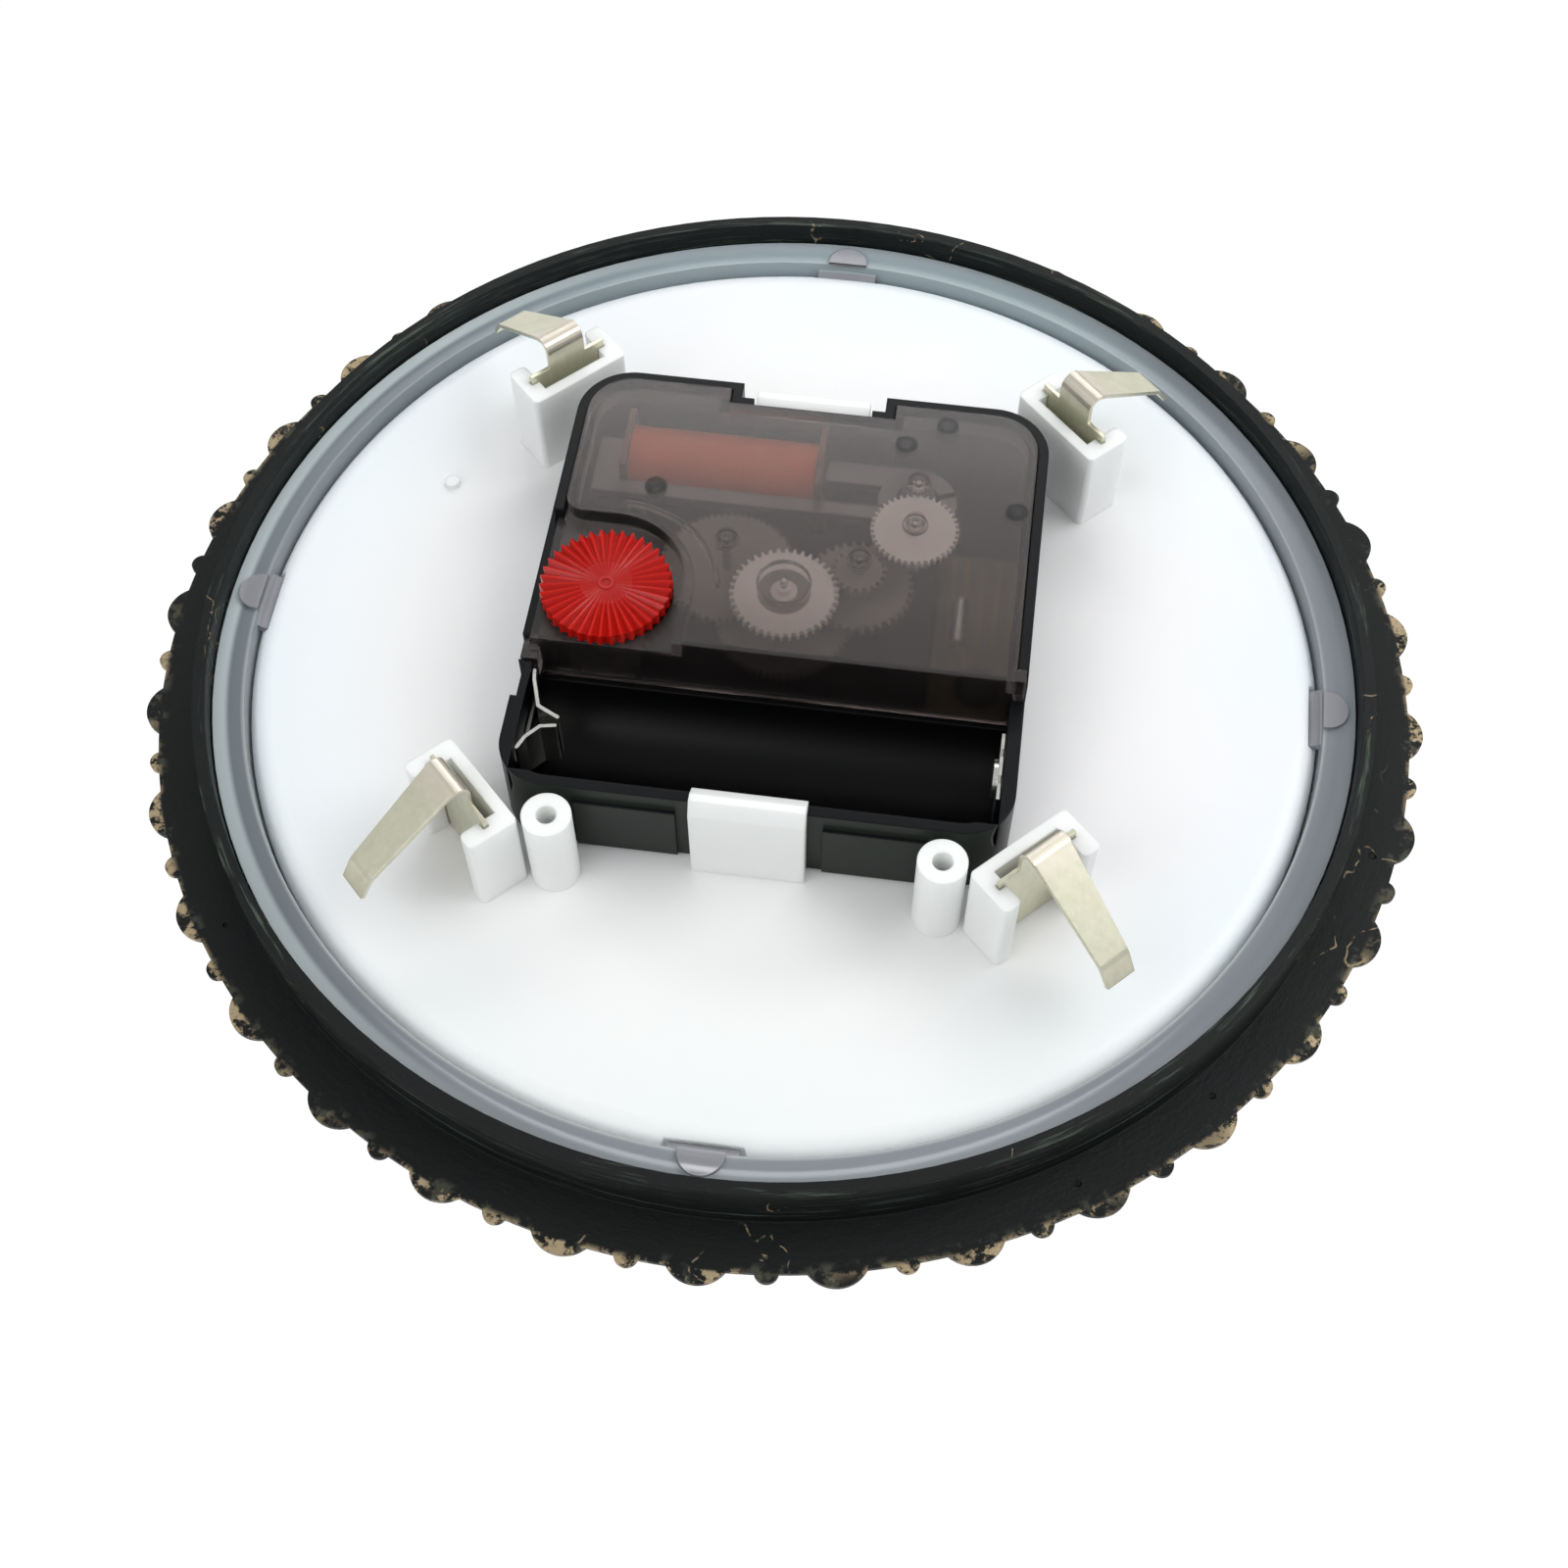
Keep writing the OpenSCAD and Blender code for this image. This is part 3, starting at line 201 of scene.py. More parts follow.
black = paint.mix(strokes, (0.0030, 0.0038, 0.0042), (0.0095, 0.0108, 0.0118))
black = paint.mix(paint.times(pools, 0.5), black, (0.0055, 0.0085, 0.0065))
scallop = paint.times(paint.step(ring_r, flange_edge_r - 1.3, flange_edge_r - 0.3),
                      paint.step(paint.noise(2.2, 3, 0.6, seed=11), 0.52, 0.66), 0.7)
black = paint.mix(scallop, black, (0.075, 0.074, 0.055))
collar_wall = paint.times(paint.step(paint.z, 0.05, 0.3),
                          paint.step(ring_r, collar_out_r + 1.3, collar_out_r + 0.9))
# scratch lines on the glossy collar wall, painted bright: real scratches with a painted highlight
# along them
scratch_and_glint = paint.noise(1.3, 4, 0.8, seed=18, place=paint.round_place(0.5), stretch=(1, 0.12, 3))
glinting_scratches = paint.times(collar_wall, paint.step(scratch_and_glint, 0.55, 0.68), 0.8)
black = paint.mix(glinting_scratches, black, (0.075, 0.100, 0.075))
bronze = paint.mix(stipple, (0.30, 0.215, 0.110), (0.58, 0.48, 0.32))
bronze = paint.mix(paint.times(front, 0.6), bronze, (0.235, 0.165, 0.080))
# each pinhole is painted near black, as painted shade in the hole
pinhole = paint.either(*[paint.step(paint.away(hole_x, hole_y), hole_r, hole_r - 0.2)
                         for hole_x, hole_y, hole_r in pinholes])
colour = paint.mix(pinhole, paint.mix(shine, black, bronze), (0.001, 0.001, 0.001))

relief = paint.plus(strokes, paint.times(stipple, 0.6), paint.times(pinhole, -3.0))
gloss = paint.plus(paint.times(stipple, 0.5), paint.times(pools, 0.5))
paint.set(Base_Color=colour, Roughness=paint.span(gloss, 0.34, 0.62), Specular_IOR_Level=0.20,
          Metallic=paint.times(shine, 0.35),
          Normal=paint.bump(relief, 0.07, paint.soft_edge(0.25)))

# Lens. The clear cup in front of the dial, moulded in one piece with four snap hooks that hold
# the plate down. Its thick wall stands between the collar and the white plate, where the plastic
# is milky blue. Its colour there carries painted shade, darker towards the bottom, the left and
# the right, and painted light along its outer edge on the left and its inner edge at the bottom.

lens_in_r = 62.7         # inner face of the thick wall
lens_top_z = 4.2         # the wall's top, where the hooks rise from it

clear = Finish("lens_clear", "lens")
ring_r = clear.away()
swirl = clear.noise(7, 3, 0.6, place=clear.round_place(0.35))
wall = clear.step(clear.z, -4.2, -2.6)
# painted shade: the milky wall darker towards the bottom and at the right and left
low_light = clear.step(clear.y, 45, -60)
right_shade = clear.step(clear.x, 20, 66)
left_shade = clear.step(clear.x, -15, -60)
# painted light: the outer part of the wall and bands along its inner and outer edges are lighter
outer_wall_light = clear.step(ring_r, lens_in_r + 1.5, lens_in_r + 3.1)
inner_light = clear.times(clear.step(ring_r, lens_in_r + 0.5, lens_in_r),
                          clear.span(low_light, 0.3, 0.9))
outer_light = clear.times(clear.step(ring_r, lens_in_r + 1.6, lens_in_r + 2.4),
                          clear.step(clear.x, -18, -52))
milk_and_shade = clear.mix(low_light, (0.46, 0.58, 0.62), (0.36, 0.39, 0.42))
milk_and_shade = clear.mix(clear.times(right_shade, 0.8), milk_and_shade, (0.27, 0.285, 0.32))
milk_and_shade = clear.mix(clear.times(left_shade, 0.9), milk_and_shade, (0.20, 0.235, 0.265))
milk_and_shade = clear.mix(clear.times(swirl, 0.25), milk_and_shade, (0.55, 0.62, 0.68))
milk_and_shade = clear.mix(clear.times(outer_wall_light, 0.5), milk_and_shade, (0.56, 0.60, 0.65))
milk_and_shade = clear.mix(inner_light, milk_and_shade, (0.72, 0.76, 0.77))
milk_and_shade = clear.mix(clear.times(outer_light, 0.9), milk_and_shade, (0.84, 0.95, 0.97))

hook = clear.either(clear.step(clear.z, lens_top_z + 0.05, lens_top_z + 0.2),
                    clear.step(ring_r, lens_in_r - 0.1, lens_in_r - 0.3))
# the hooks' faces that look towards the middle are painted dark brown, as painted shade
inward = clear.math("DIVIDE", clear.plus(clear.times(clear.facing(0), clear.x),
                                         clear.times(clear.facing(1), clear.y)), ring_r)
hook_face_shade = clear.times(hook, clear.step(inward, -0.5, -0.8))
colour = clear.mix(wall, (0.97, 0.985, 0.98), milk_and_shade)
colour = clear.mix(clear.times(hook, wall, 0.8), colour, (0.66, 0.65, 0.70))
colour = clear.mix(clear.times(hook_face_shade, 0.85), colour, (0.12, 0.085, 0.075))
cloudy = clear.times(wall, clear.span(hook, 0.62, 0.40))
clear.set(Base_Color=colour, Roughness=clear.span(wall, 0.02, 0.24), Specular_IOR_Level=0.4,
          Transmission_Weight=clear.math("SUBTRACT", 1.0, cloudy), IOR=1.49,
          Normal=clear.bump(clear.times(wall, swirl), 0.06, clear.soft_edge(0.2)))

# Dial plate. The white disc that carries everything, moulded in milky polystyrene with clip
# holders, screw posts and two latches in one piece. Light goes a little way into it. Its colour
# has a painted bluish shade towards its edges and painted greenish light on its posts.

white = Finish("plate_white", "dial_plate")
# painted shade: bluish and darker towards the edge
bluish_edge_shade = white.step(white.away(), 40, 62)
pink_patch = white.step(white.noise(26, 2, 0.5, seed=1), 0.45, 0.65)
warm_bottom = white.step(white.y, -20, -58)
# painted light: the raised posts lighter and greenish
post_light = white.step(white.z, 5.0, 14.0)
tint = white.mix(bluish_edge_shade, (0.925, 0.925, 0.915), (0.84, 0.90, 0.94))
tint = white.mix(white.times(pink_patch, 0.35), tint, (0.94, 0.90, 0.925))
tint = white.mix(white.times(warm_bottom, 0.5), tint, (0.92, 0.93, 0.885))
tint = white.mix(white.times(post_light, 0.7), tint, (0.93, 0.975, 0.935))
mottle = white.noise(5, 3, 0.5, seed=3)
skin = white.plus(mottle, white.times(white.noise(0.6, 2), 0.15))
white.set(Base_Color=tint, Roughness=white.span(mottle, 0.30, 0.42), Subsurface_Weight=0.50,
          Subsurface_Scale=0.003, Subsurface_Radius=(1.0, 0.95, 0.9), IOR=1.5,
          Normal=white.bump(skin, 0.03, white.soft_edge(0.3)))

# Dial. The printed card between the plate and the lens: cream paper with a black minute ring
# and plain numerals, glued flat on the plate's front. It is read from the front, against +Z.

dial_z = 1.1             # front of the card
print_t = 0.04           # thickness of the ink
card_r = 59.5
ring_out_r, ring_in_r = 56.6, 52.8
mark_gap = 0.5           # between a minute mark and each circle
minute_mark_w = 0.35
hour_mark_l, hour_mark_w = 4.6, 1.15
hour_mark_r = ring_in_r + 1.6
dial_lines = ((ring_out_r, 0.35), (ring_in_r, 0.25), (ring_in_r - 1.2, 0.15))
numeral_r = 45.0
numeral_h = 8.6
font_share = 1.38        # font size over the height of a figure

card = Finish("dial_print", "dial_face")
fibre = card.noise(0.5, 4, 0.65)
age = card.noise(22, 3, 0.5, seed=6)
paper = card.mix(card.times(age, 0.6), (0.86, 0.83, 0.73), (0.80, 0.73, 0.56))
paper = card.mix(card.times(card.step(card.away(), 50, card_r), 0.5), paper, (0.70, 0.60, 0.42))
paper = card.mix(card.times(fibre, 0.25), paper, (0.93, 0.91, 0.84))
card.set(Base_Color=paper, Roughness=card.span(fibre, 0.5, 0.7), Normal=card.bump(fibre, 0.015))

ink = Finish("dial_ink")
ink.set(Base_Color=ink.mix(ink.noise(0.6, 4, 0.7), (0.008, 0.008, 0.009), (0.030, 0.028, 0.026)),
        Roughness=0.45, Normal=ink.bump(ink.noise(0.2, 3), 0.01))


def plain_piece(name, mesh, finish, body):
    """Puts a finished mesh in the scene and fixes it to a body."""
    piece = bpy.data.objects.new(name, mesh)
    bpy.context.scene.collection.objects.link(piece)
    mesh.materials.clear()
    mesh.materials.append(finish.mat)
    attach(piece, body)


def made_mesh(maker):
    """The plain mesh of an object as its curve or nodes make it."""
    bpy.context.scene.collection.objects.link(maker)
    mesh = bpy.data.meshes.new_from_object(
        maker.evaluated_get(bpy.context.evaluated_depsgraph_get()))
    maker.modifiers.clear()
    bpy.data.objects.remove(maker)
    return mesh


class MarkTree:
    """A Geometry Nodes tree with named inputs, turned into a plain mesh once built."""

    def __init__(self, name):
        self.group = bpy.data.node_groups.new(name, "GeometryNodeTree")
        self.group.interface.new_socket("Geometry", in_out="OUTPUT",
                                        socket_type="NodeSocketGeometry")
        self.values = {}
        self.inp = self.group.nodes.new("NodeGroupInput")
        self.out = self.group.nodes.new("NodeGroupOutput")

    def value(self, name, kind, number):
        socket = self.group.interface.new_socket(name, in_out="INPUT",
                                                 socket_type="NodeSocket" + kind)
        self.values[socket.identifier] = number
        return next(s for s in self.inp.outputs if s.identifier == socket.identifier)

    def node(self, kind, inputs=None, **settings):
        n = self.group.nodes.new(kind)
        for key, setting in settings.items():
            setattr(n, key, setting)
        for key, value in (inputs or {}).items():
            socket = n.inputs[key]
            if isinstance(value, bpy.types.NodeSocket):
                self.group.links.new(value, socket)
            else:
                socket.default_value = value
        return n

    def mesh(self, geometry, finish):
        real = self.node("GeometryNodeRealizeInstances", {0: geometry})
        coat = self.node("GeometryNodeSetMaterial",
                         {"Geometry": real.outputs[0], "Material": finish.mat})
        self.group.links.new(coat.outputs[0], self.out.inputs[0])
        maker = bpy.data.objects.new("maker", bpy.data.meshes.new("maker"))
        nodes = maker.modifiers.new("maker", "NODES")
        nodes.node_group = self.group
        for identifier, number in self.values.items():
            nodes[identifier] = number
        return made_mesh(maker)


def mark_ring(name, count, middle_r, length, width):
    """Marks that stand round the dial, one box for each."""
    tree = MarkTree(name)
    points = tree.node("GeometryNodeMeshCircle", {
        "Vertices": tree.value("Count", "Int", count),
        "Radius": tree.value("Middle radius", "Float", middle_r / per_m)})
    size = tree.node("ShaderNodeCombineXYZ", {
        "X": tree.value("Length", "Float", length / per_m),
        "Y": tree.value("Width", "Float", width / per_m),
        "Z": tree.value("Ink", "Float", print_t / per_m)})
    box = tree.node("GeometryNodeMeshCube", {"Size": size.outputs[0]})
    spot = tree.node("GeometryNodeInputPosition")
    turn = tree.node("FunctionNodeAlignRotationToVector", {"Vector": spot.outputs[0]}, axis="X")
    marks = tree.node("GeometryNodeInstanceOnPoints", {
        "Points": points.outputs[0], "Instance": box.outputs[0], "Rotation": turn.outputs[0]})
    height = tree.value("Height", "Float", (dial_z - print_t / 2) / per_m)
    lift = tree.node("ShaderNodeCombineXYZ", {"Z": height})
    move = tree.node("GeometryNodeSetPosition", {"Geometry": marks.outputs[0],
                                                 "Offset": lift.outputs[0]})
    return tree.mesh(move.outputs[0], ink)


minute_marks = mark_ring("minute_marks", 60, (ring_out_r + ring_in_r) / 2,
                         ring_out_r - ring_in_r - 2 * mark_gap, minute_mark_w)
plain_piece("minute_marks", minute_marks, ink, "base")
hour_marks = mark_ring("hour_marks", 12, hour_mark_r, hour_mark_l, hour_mark_w)
plain_piece("hour_marks", hour_marks, ink, "base")


def flat_ring(name, r_out, width):
    """A printed circle: a closed band as thick as the ink."""
    steps = 180
    r_in = r_out - width
    low, high = (dial_z - print_t) / per_m, dial_z / per_m
    corners = [(r_out, low), (r_out, high), (r_in, high), (r_in, low)]
    turns = [2 * math.pi * k / steps for k in range(steps)]
    verts = [(r / per_m * math.cos(a), r / per_m * math.sin(a), z) for a in turns
             for r, z in corners]
    faces = []
    for k in range(steps):
        here, there = 4 * k, 4 * ((k + 1) % steps)
        faces += [(here + j, there + j, there + (j + 1) % 4, here + (j + 1) % 4)
                  for j in range(4)]
    mesh = bpy.data.meshes.new(name)
    mesh.from_pydata(verts, [], faces)
    return mesh


for k, (line_r, line_w) in enumerate(dial_lines):
    line = flat_ring(f"dial_line_{k + 1}", line_r, line_w)
    plain_piece(f"dial_line_{k + 1}", line, ink, "base")

for hour in range(1, 13):
    figure = bpy.data.curves.new(f"numeral_{hour}", "FONT")
    figure.body = str(hour)
    figure.size = numeral_h / per_m * font_share
    figure.align_x = "CENTER"
    figure.align_y = "CENTER"
    figure.extrude = print_t / 2 / per_m
    figure.resolution_u = 6
    numeral = made_mesh(bpy.data.objects.new("maker", figure))
    turn = math.radians(30 * hour)
    # a half turn about Y makes the figure read from the front
    numeral.transform(Matrix.Translation((-numeral_r / per_m * math.sin(turn),
                                          numeral_r / per_m * math.cos(turn),
                                          (dial_z - print_t / 2) / per_m))
                      @ Matrix.Rotation(math.pi, 4, "Y"))
    plain_piece(f"numeral_{hour}", numeral, ink, "base")

# Hands. Stamped from thin sheet and painted satin black, with a faint orange-peel in the paint.
# They are pressed on the three pipes in the middle of the dial.

satin = Finish("hand_black", "hour_hand", "minute_hand", "second_hand")
peel = satin.noise(0.5, 3, 0.6)
satin.set(Base_Color=satin.mix(peel, (0.006, 0.006, 0.007), (0.016, 0.015, 0.015)),
          Roughness=satin.span(peel, 0.28, 0.42), Coat_Weight=0.2,
          Normal=satin.bump(peel, 0.008, satin.soft_edge(0.08)))

# Spring clips. Four strips of nickel-plated spring steel, folded over their white holders, that
# press on the panel's edge. The rolled strip is slightly yellow, with soft lengthwise streaks,
# and its folded top has a painted warm highlight.

strip = Finish("clip_steel", "spring_clip_1", "spring_clip_2", "spring_clip_3", "spring_clip_4")
drawn = strip.noise(0.9, 4, 0.6, seed=1, stretch=(1, 1, 0.35))
cloud = strip.noise(3.5, 3, 0.55, seed=2)
# painted highlight: the folded top turns a warm pinkish white
fold_highlight = strip.step(strip.z, 18.2, 20.0)
metal = strip.mix(drawn, (0.58, 0.565, 0.42), (0.78, 0.765, 0.62))
metal = strip.mix(strip.times(fold_highlight, 0.5), metal, (0.80, 0.70, 0.64))
metal = strip.mix(strip.times(strip.step(cloud, 0.5, 0.7), 0.4), metal, (0.60, 0.595, 0.46))
strip.set(Base_Color=metal, Metallic=0.80, Roughness=strip.span(cloud, 0.24, 0.42),
          Normal=strip.bump(drawn, 0.012, strip.soft_edge(0.15)))

# Movement case. The black box with the mechanism's room and the battery bay, moulded in satin
# plastic, with a mid plate of the same plastic inside it. Painted shade makes the bay's inside
# the darkest, and painted light makes the front faces of the wall by the lower latch a
# green-black.

bay_rim_z = 14.7
bay_front_y = -26.9      # just within the bay's outer wall
bay_back_y = -9.5        # back of the wall between the bay and the mechanism
bay_end_x = 27.0         # within the bay's end walls
shell = Finish("movement_black", "movement_case", "mid_plate")
grain = shell.noise(0.30, 4, 0.65)
flow = shell.noise(8, 3, 0.5, seed=2, stretch=(0.4, 1, 1))
# painted shade: the bay's inside, where this mask is 0, is painted darkest
outside = shell.either(shell.step(shell.z, bay_rim_z - 0.4, bay_rim_z),
                       shell.step(shell.y, bay_front_y, bay_front_y - 0.5),
                       shell.step(shell.math("ABSOLUTE", shell.x), bay_end_x, bay_end_x + 0.6),
                       shell.step(shell.y, bay_back_y, bay_back_y + 1.0))
# painted light: the wall's faces toward the front, by the lower latch, are a lighter green-black
front_face_light = shell.times(shell.step(shell.facing(1), -0.4, -0.9), shell.step(shell.y, -26, -27), 0.8)
dark = shell.mix(flow, (0.0032, 0.0036, 0.0042), (0.0070, 0.0078, 0.0088))
dark = shell.mix(outside, (0.0008, 0.0009, 0.0010), dark)
dark = shell.mix(front_face_light, dark, (0.022, 0.028, 0.022))
shell.set(Base_Color=dark, Roughness=shell.span(grain, 0.28, 0.42), Specular_IOR_Level=0.15,
          Normal=shell.bump(grain, 0.005, shell.soft_edge(0.35)))

# Movement cover. The smoky lid, clear plastic with a grey-brown tint, snapped over the
# mechanism. What lies deeper under it looks softer. Painted shade darkens its lower part and its
# front wall, over the battery, and marks its posts and the pivots' cups as dark spots and rings.

lid_posts = ((16.0, 24.3), (11.5, 20.9), (-16.3, 11.0), (25.0, 12.6))
lid_post_r = 1.45
pivot_cups = ((13.5, 15.9), (13.7, 10.0), (8.0, 4.1), (-7.2, 4.9))
pivot_cup_r = 1.30
smoke = Finish("cover_smoky", "movement_cover")
haze = smoke.noise(4, 3, 0.55)
tone = smoke.mix(smoke.times(haze, 0.5), (0.61, 0.545, 0.520), (0.69, 0.63, 0.61))
# painted shade: the lid darker towards its lower edge
tone = smoke.mix(smoke.times(smoke.step(smoke.y, 0.0, -9.0), 0.5), tone, (0.42, 0.37, 0.355))
# painted shade: the front wall, over the battery, is painted much darker
front_wall_shade = smoke.step(smoke.facing(1), -0.5, -0.9)
tone = smoke.mix(smoke.times(front_wall_shade, 0.85), tone, (0.10, 0.085, 0.085))
# painted shade: dark spots over the lid's posts and dark rings at the pivots' cups
spot = 0.0
for post_x, post_y in lid_posts:
    off = smoke.away(post_x, post_y)
    post_shade = smoke.step(off, lid_post_r, lid_post_r - 0.3)
    spot = smoke.either(spot, smoke.times(post_shade, smoke.span(smoke.step(off, 0.5, 0.8), 0.6, 1.0)))
for cup_x, cup_y in pivot_cups:
    off = smoke.away(cup_x, cup_y)
    cup_shade = smoke.step(off, pivot_cup_r, pivot_cup_r - 0.2)
    spot = smoke.either(spot, smoke.times(cup_shade, smoke.step(off, 0.60, 0.85), 0.55))
tone = smoke.mix(smoke.times(spot, 0.9), tone, (0.03, 0.03, 0.03))
smoke.set(Base_Color=tone, Roughness=smoke.span(haze, 0.13, 0.20), Transmission_Weight=0.95,
          IOR=1.30, Coat_Weight=0.35, Coat_Roughness=0.20,
          Normal=smoke.bump(haze, 0.02, smoke.soft_edge(0.45)))

# Battery contacts. Two bent strips of bright nickel-plated steel, pushed into slots at the
# bay's ends, with fine rub marks from the battery.

plated = Finish("contact_plate", "negative_contact", "positive_contact")
rub = plated.noise(0.8, 4, 0.6, stretch=(1, 1, 0.3))
plated.set(Base_Color=plated.mix(rub, (0.62, 0.61, 0.57), (0.82, 0.81, 0.78)), Metallic=1.0,
           Roughness=plated.span(rub, 0.16, 0.30),
           Normal=plated.bump(rub, 0.01, plated.soft_edge(0.08)))

# Motor. A brown bobbin wound with red enamelled wire, a punched iron core with two pole pieces,
# and a sintered two-pole magnet on a small pinion. The winding's turns are too fine to model,
# and show as fine ribs round it.

bobbin = Finish("bobbin_brown", "coil_bobbin")
brown = bobbin.mix(bobbin.noise(2), (0.16, 0.075, 0.045), (0.24, 0.115, 0.070))
bobbin.set(Base_Color=brown, Roughness=0.42,
           Normal=bobbin.bump(bobbin.noise(0.4), 0.01, bobbin.soft_edge(0.15)))

wire_d = 0.14
wire = Finish("winding_copper", "coil_winding")
ribs = wire.math("SINE", wire.times(wire.x, 2 * math.pi / wire_d))
layer = wire.noise(1.6, 3, 0.6, stretch=(1, 0.25, 0.25))
wire.set(Base_Color=wire.mix(layer, (0.88, 0.17, 0.07), (0.98, 0.28, 0.12)), Metallic=0.10,
         Roughness=wire.span(layer, 0.30, 0.45), Normal=wire.bump(ribs, 0.02))

iron = Finish("core_iron", "coil_core", "stator_long", "stator_short")
mill = iron.noise(1.2, 4, 0.6, stretch=(0.3, 1, 1))
iron.set(Base_Color=iron.mix(mill, (0.13, 0.13, 0.135), (0.24, 0.24, 0.25)), Metallic=1.0,
         Roughness=iron.span(mill, 0.34, 0.50), Normal=iron.bump(mill, 0.01, iron.soft_edge(0.1)))

sinter = Finish("magnet_grey", "rotor_magnet")
ferrite = sinter.mix(sinter.noise(0.4), (0.07, 0.07, 0.075), (0.14, 0.14, 0.15))
sinter.set(Base_Color=ferrite, Metallic=0.7, Roughness=0.42,
           Normal=sinter.bump(sinter.noise(0.2), 0.02, sinter.soft_edge(0.1)))

# Circuit board. Olive-brown board with raised copper tracks, on four pegs of the case, with a
# drawn quartz can and a drop of black resin over the chip.

track_pitch = 1.8
board = Finish("board_brown", "circuit_board")
across = board.plus(board.x, board.times(board.step(board.y, -1, 1), 0.8))
across = board.math("WRAP", across, track_pitch, 0.0)
track = board.times(board.step(across, 0.95, 1.05), board.step(across, 1.60, 1.50))
bare = board.mix(board.noise(1.5), (0.055, 0.050, 0.022), (0.095, 0.085, 0.035))
board.set(Base_Color=board.mix(track, bare, (0.16, 0.12, 0.05)), Roughness=0.42,
          Metallic=board.times(track, 0.8), Normal=board.bump(track, 0.03))

can = Finish("quartz_metal", "quartz_can")
can.set(Base_Color=can.mix(can.noise(0.8), (0.66, 0.66, 0.67), (0.82, 0.82, 0.83)), Metallic=1.0,
        Roughness=0.2, Normal=can.bump(can.noise(0.5), 0.008))

resin = Finish("chip_black", "chip_cap")
cured = resin.mix(resin.noise(0.7), (0.006, 0.006, 0.007), (0.014, 0.013, 0.013))
resin.set(Base_Color=cured, Roughness=0.22, Normal=resin.bump(resin.noise(1.0), 0.03))

# Wheels. Moulded with their pinions and pivots: natural acetal for the two uppermost and the
# motor's pinion, grey for the ones below. A turned brass cannon carries the minute hand.

cup_in_r, cup_out_r = 1.5, 3.0       # dark ring in the middle of the seconds wheel
acetal = Finish("wheel_white", "rotor_pinion", "sixth_wheel", "seconds_wheel")
milky = acetal.noise(1.4, 3, 0.5)
# painted shade: a dark ring round the middle of the seconds wheel
cup_shade = acetal.times(acetal.step(acetal.away(), cup_out_r + 0.1, cup_out_r - 0.1),
                   acetal.step(acetal.away(), cup_in_r - 0.1, cup_in_r + 0.1), 0.75)
natural = acetal.mix(milky, (0.88, 0.87, 0.84), (0.96, 0.95, 0.93))
acetal.set(Base_Color=acetal.mix(cup_shade, natural, (0.10, 0.10, 0.10)),
           Roughness=acetal.span(milky, 0.32, 0.45), Subsurface_Weight=0.15,
           Subsurface_Scale=0.001, Normal=acetal.bump(milky, 0.01, acetal.soft_edge(0.08)))

grey = Finish("wheel_grey", "fifth_wheel", "third_wheel", "centre_wheel", "minute_work_wheel",
              "hour_wheel", "set_arbor")
streak = grey.noise(1.8, 3, 0.5)
grey.set(Base_Color=grey.mix(streak, (0.20, 0.195, 0.185), (0.30, 0.29, 0.275)),
         Roughness=grey.span(streak, 0.34, 0.48),
         Normal=grey.bump(streak, 0.01, grey.soft_edge(0.08)))

brass = Finish("cannon_brass", "cannon_pinion")
lathe = brass.noise(0.3, 3, 0.6, place=brass.round_place(0.02))
brass.set(Base_Color=brass.mix(lathe, (0.72, 0.50, 0.20), (0.86, 0.66, 0.32)), Metallic=1.0,
          Roughness=brass.span(lathe, 0.18, 0.32), Normal=brass.bump(lathe, 0.01))

# Set knob. Bright red and glossy, moulded with sharp ridges that run from a flat middle to a
# zigzag rim, and pressed on the setting arbor. The crests carry a painted highlight, the grooves
# painted shade.

knob_at = (-19.5, -3.4)
knob_flat_r = 2.9
ridge_count = 38
red = Finish("knob_red", "set_knob")
mould = red.noise(1.2, 3, 0.5)
flat = red.step(red.away(*knob_at), knob_flat_r + 0.1, knob_flat_r - 0.1)
turn = red.math("ARCTAN2", red.math("SUBTRACT", red.y, knob_at[1]),
                red.math("SUBTRACT", red.x, knob_at[0]))
# painted highlight on the ridges' crests and painted shade in the grooves
ridge_light_shade = red.span(red.math("COSINE", red.times(turn, ridge_count)), 0.5, 1.0)
ridge_light_shade = red.math("SUBTRACT", ridge_light_shade, red.times(flat, red.math("SUBTRACT", ridge_light_shade, 0.7)))
scarlet = red.mix(ridge_light_shade, (0.190, 0.0020, 0.0015), (0.560, 0.0100, 0.0050))
scarlet = red.mix(red.times(mould, 0.3), scarlet, (0.500, 0.0080, 0.0040))
scarlet = red.mix(red.times(flat, 0.55), scarlet, (0.42, 0.020, 0.018))
red.set(Base_Color=scarlet, Roughness=red.span(flat, 0.16, 0.34), Specular_IOR_Level=0.25,
        Normal=red.bump(mould, 0.02, red.soft_edge(0.12)))

# Studio. A plain white floor that keeps the soft shadow, three soft lamps and an even sky, and
# the camera where the photograph's stood. Lengths here are in metres.

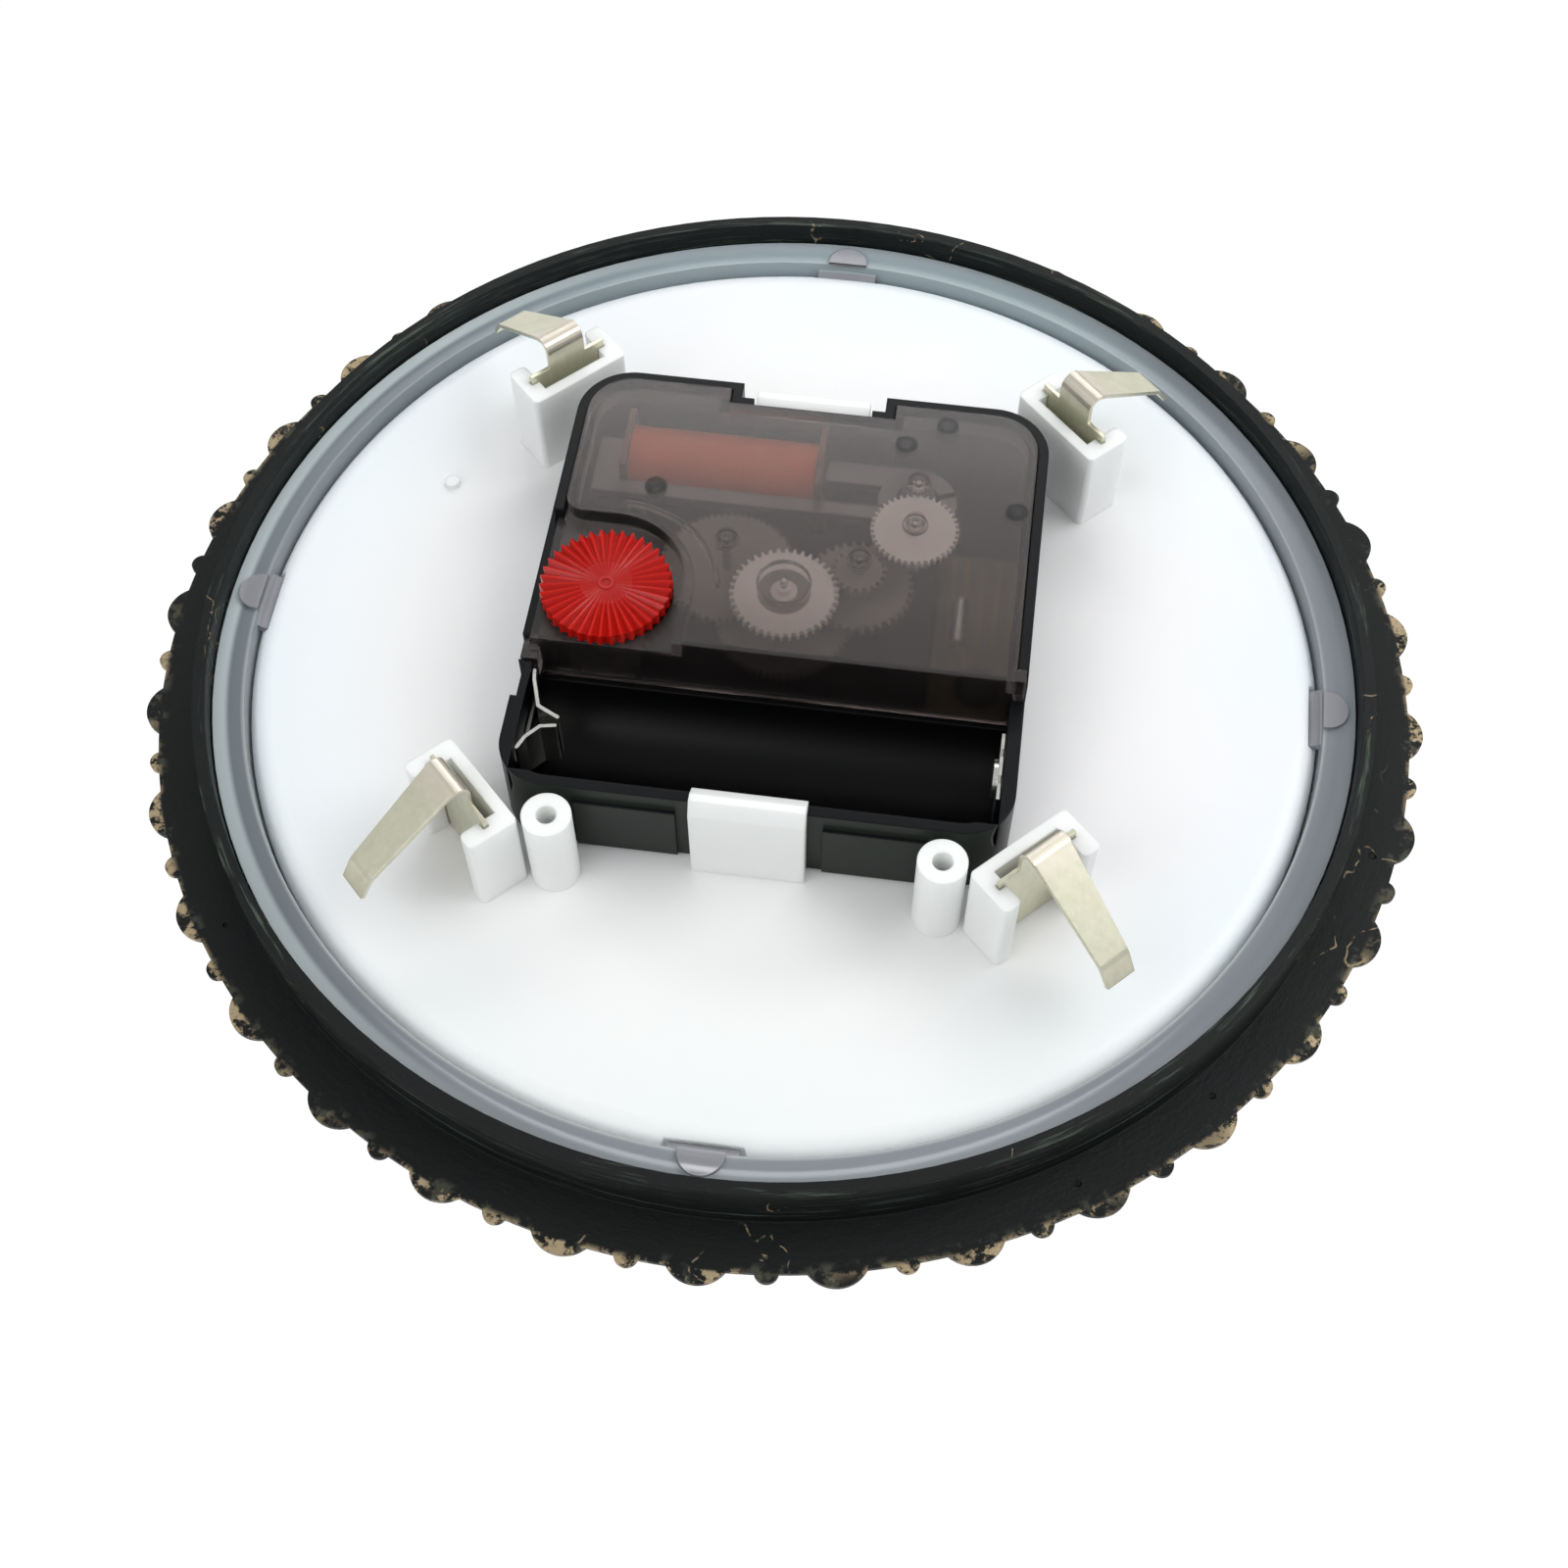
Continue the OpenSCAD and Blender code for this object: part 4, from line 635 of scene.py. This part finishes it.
floor_z = -0.0095
floor_half = 4
floor_glow = 1.02
sky_colour, sky_strength = (0.97, 0.985, 1.0), 0.56
lamps = (("window", (0.42, 0.10, 0.48), (0.45, 0.40), 1.75),
         ("strip", (-0.02, 0.50, 0.455), (0.55, 0.16), 0.9),
         ("fill", (-0.30, -0.35, 0.45), (0.4, 0.4), 1.15))    # place, size, watts
camera_at = (0.01915, -0.14134, 0.20821)

corners = [(-floor_half, -floor_half, floor_z), (floor_half, -floor_half, floor_z),
           (floor_half, floor_half, floor_z), (-floor_half, floor_half, floor_z)]
plane = bpy.data.meshes.new("floor")
plane.from_pydata(corners, [], [(0, 1, 2, 3)])
floor = bpy.data.objects.new("floor", plane)
bpy.context.scene.collection.objects.link(floor)
backdrop = Finish("floor_white")
ray = backdrop.node("LightPath").outputs
seen = backdrop.either(ray["Is Camera Ray"], ray["Is Glossy Ray"], ray["Is Transmission Ray"])
glow = backdrop.node("Emission", {"Strength": floor_glow}).outputs[0]
backdrop.set(Base_Color=(0.9, 0.9, 0.9), Roughness=0.9)
blend = backdrop.node("MixShader", {0: seen, 1: backdrop.bsdf.outputs[0], 2: glow}).outputs[0]
backdrop.put(backdrop.out.inputs["Surface"], blend)
plane.materials.append(backdrop.mat)

sky = bpy.data.worlds.new("studio")
bpy.context.scene.world = sky
sky.use_nodes = True
sky_light = sky.node_tree.nodes["Background"].inputs
sky_light["Color"].default_value = (*sky_colour, 1)
sky_light["Strength"].default_value = sky_strength

for name, at, size, power in lamps:
    data = bpy.data.lights.new(name, "AREA")
    data.shape = "RECTANGLE"
    data.size, data.size_y = size
    data.energy = power
    lamp = bpy.data.objects.new(name, data)
    bpy.context.scene.collection.objects.link(lamp)
    lamp.location = at
    lamp.rotation_euler = (-Vector(at)).to_track_quat("-Z", "Y").to_euler()

view = bpy.data.cameras.new("camera")
view.lens = 48.73
view.sensor_width = 36
view.clip_start = 0.01
camera = bpy.data.objects.new("camera", view)
bpy.context.scene.collection.objects.link(camera)
forward = Vector((-0.0699, 0.5160, -0.8537)).normalized()
right = Vector((0.9909, 0.1343, 0.0))
right = (right - forward * right.dot(forward)).normalized()
axes = Matrix((right, right.cross(forward), -forward)).transposed()
camera.matrix_world = Matrix.Translation(camera_at) @ axes.to_4x4()
bpy.context.scene.camera = camera
bpy.context.scene.view_settings.view_transform = "Standard"
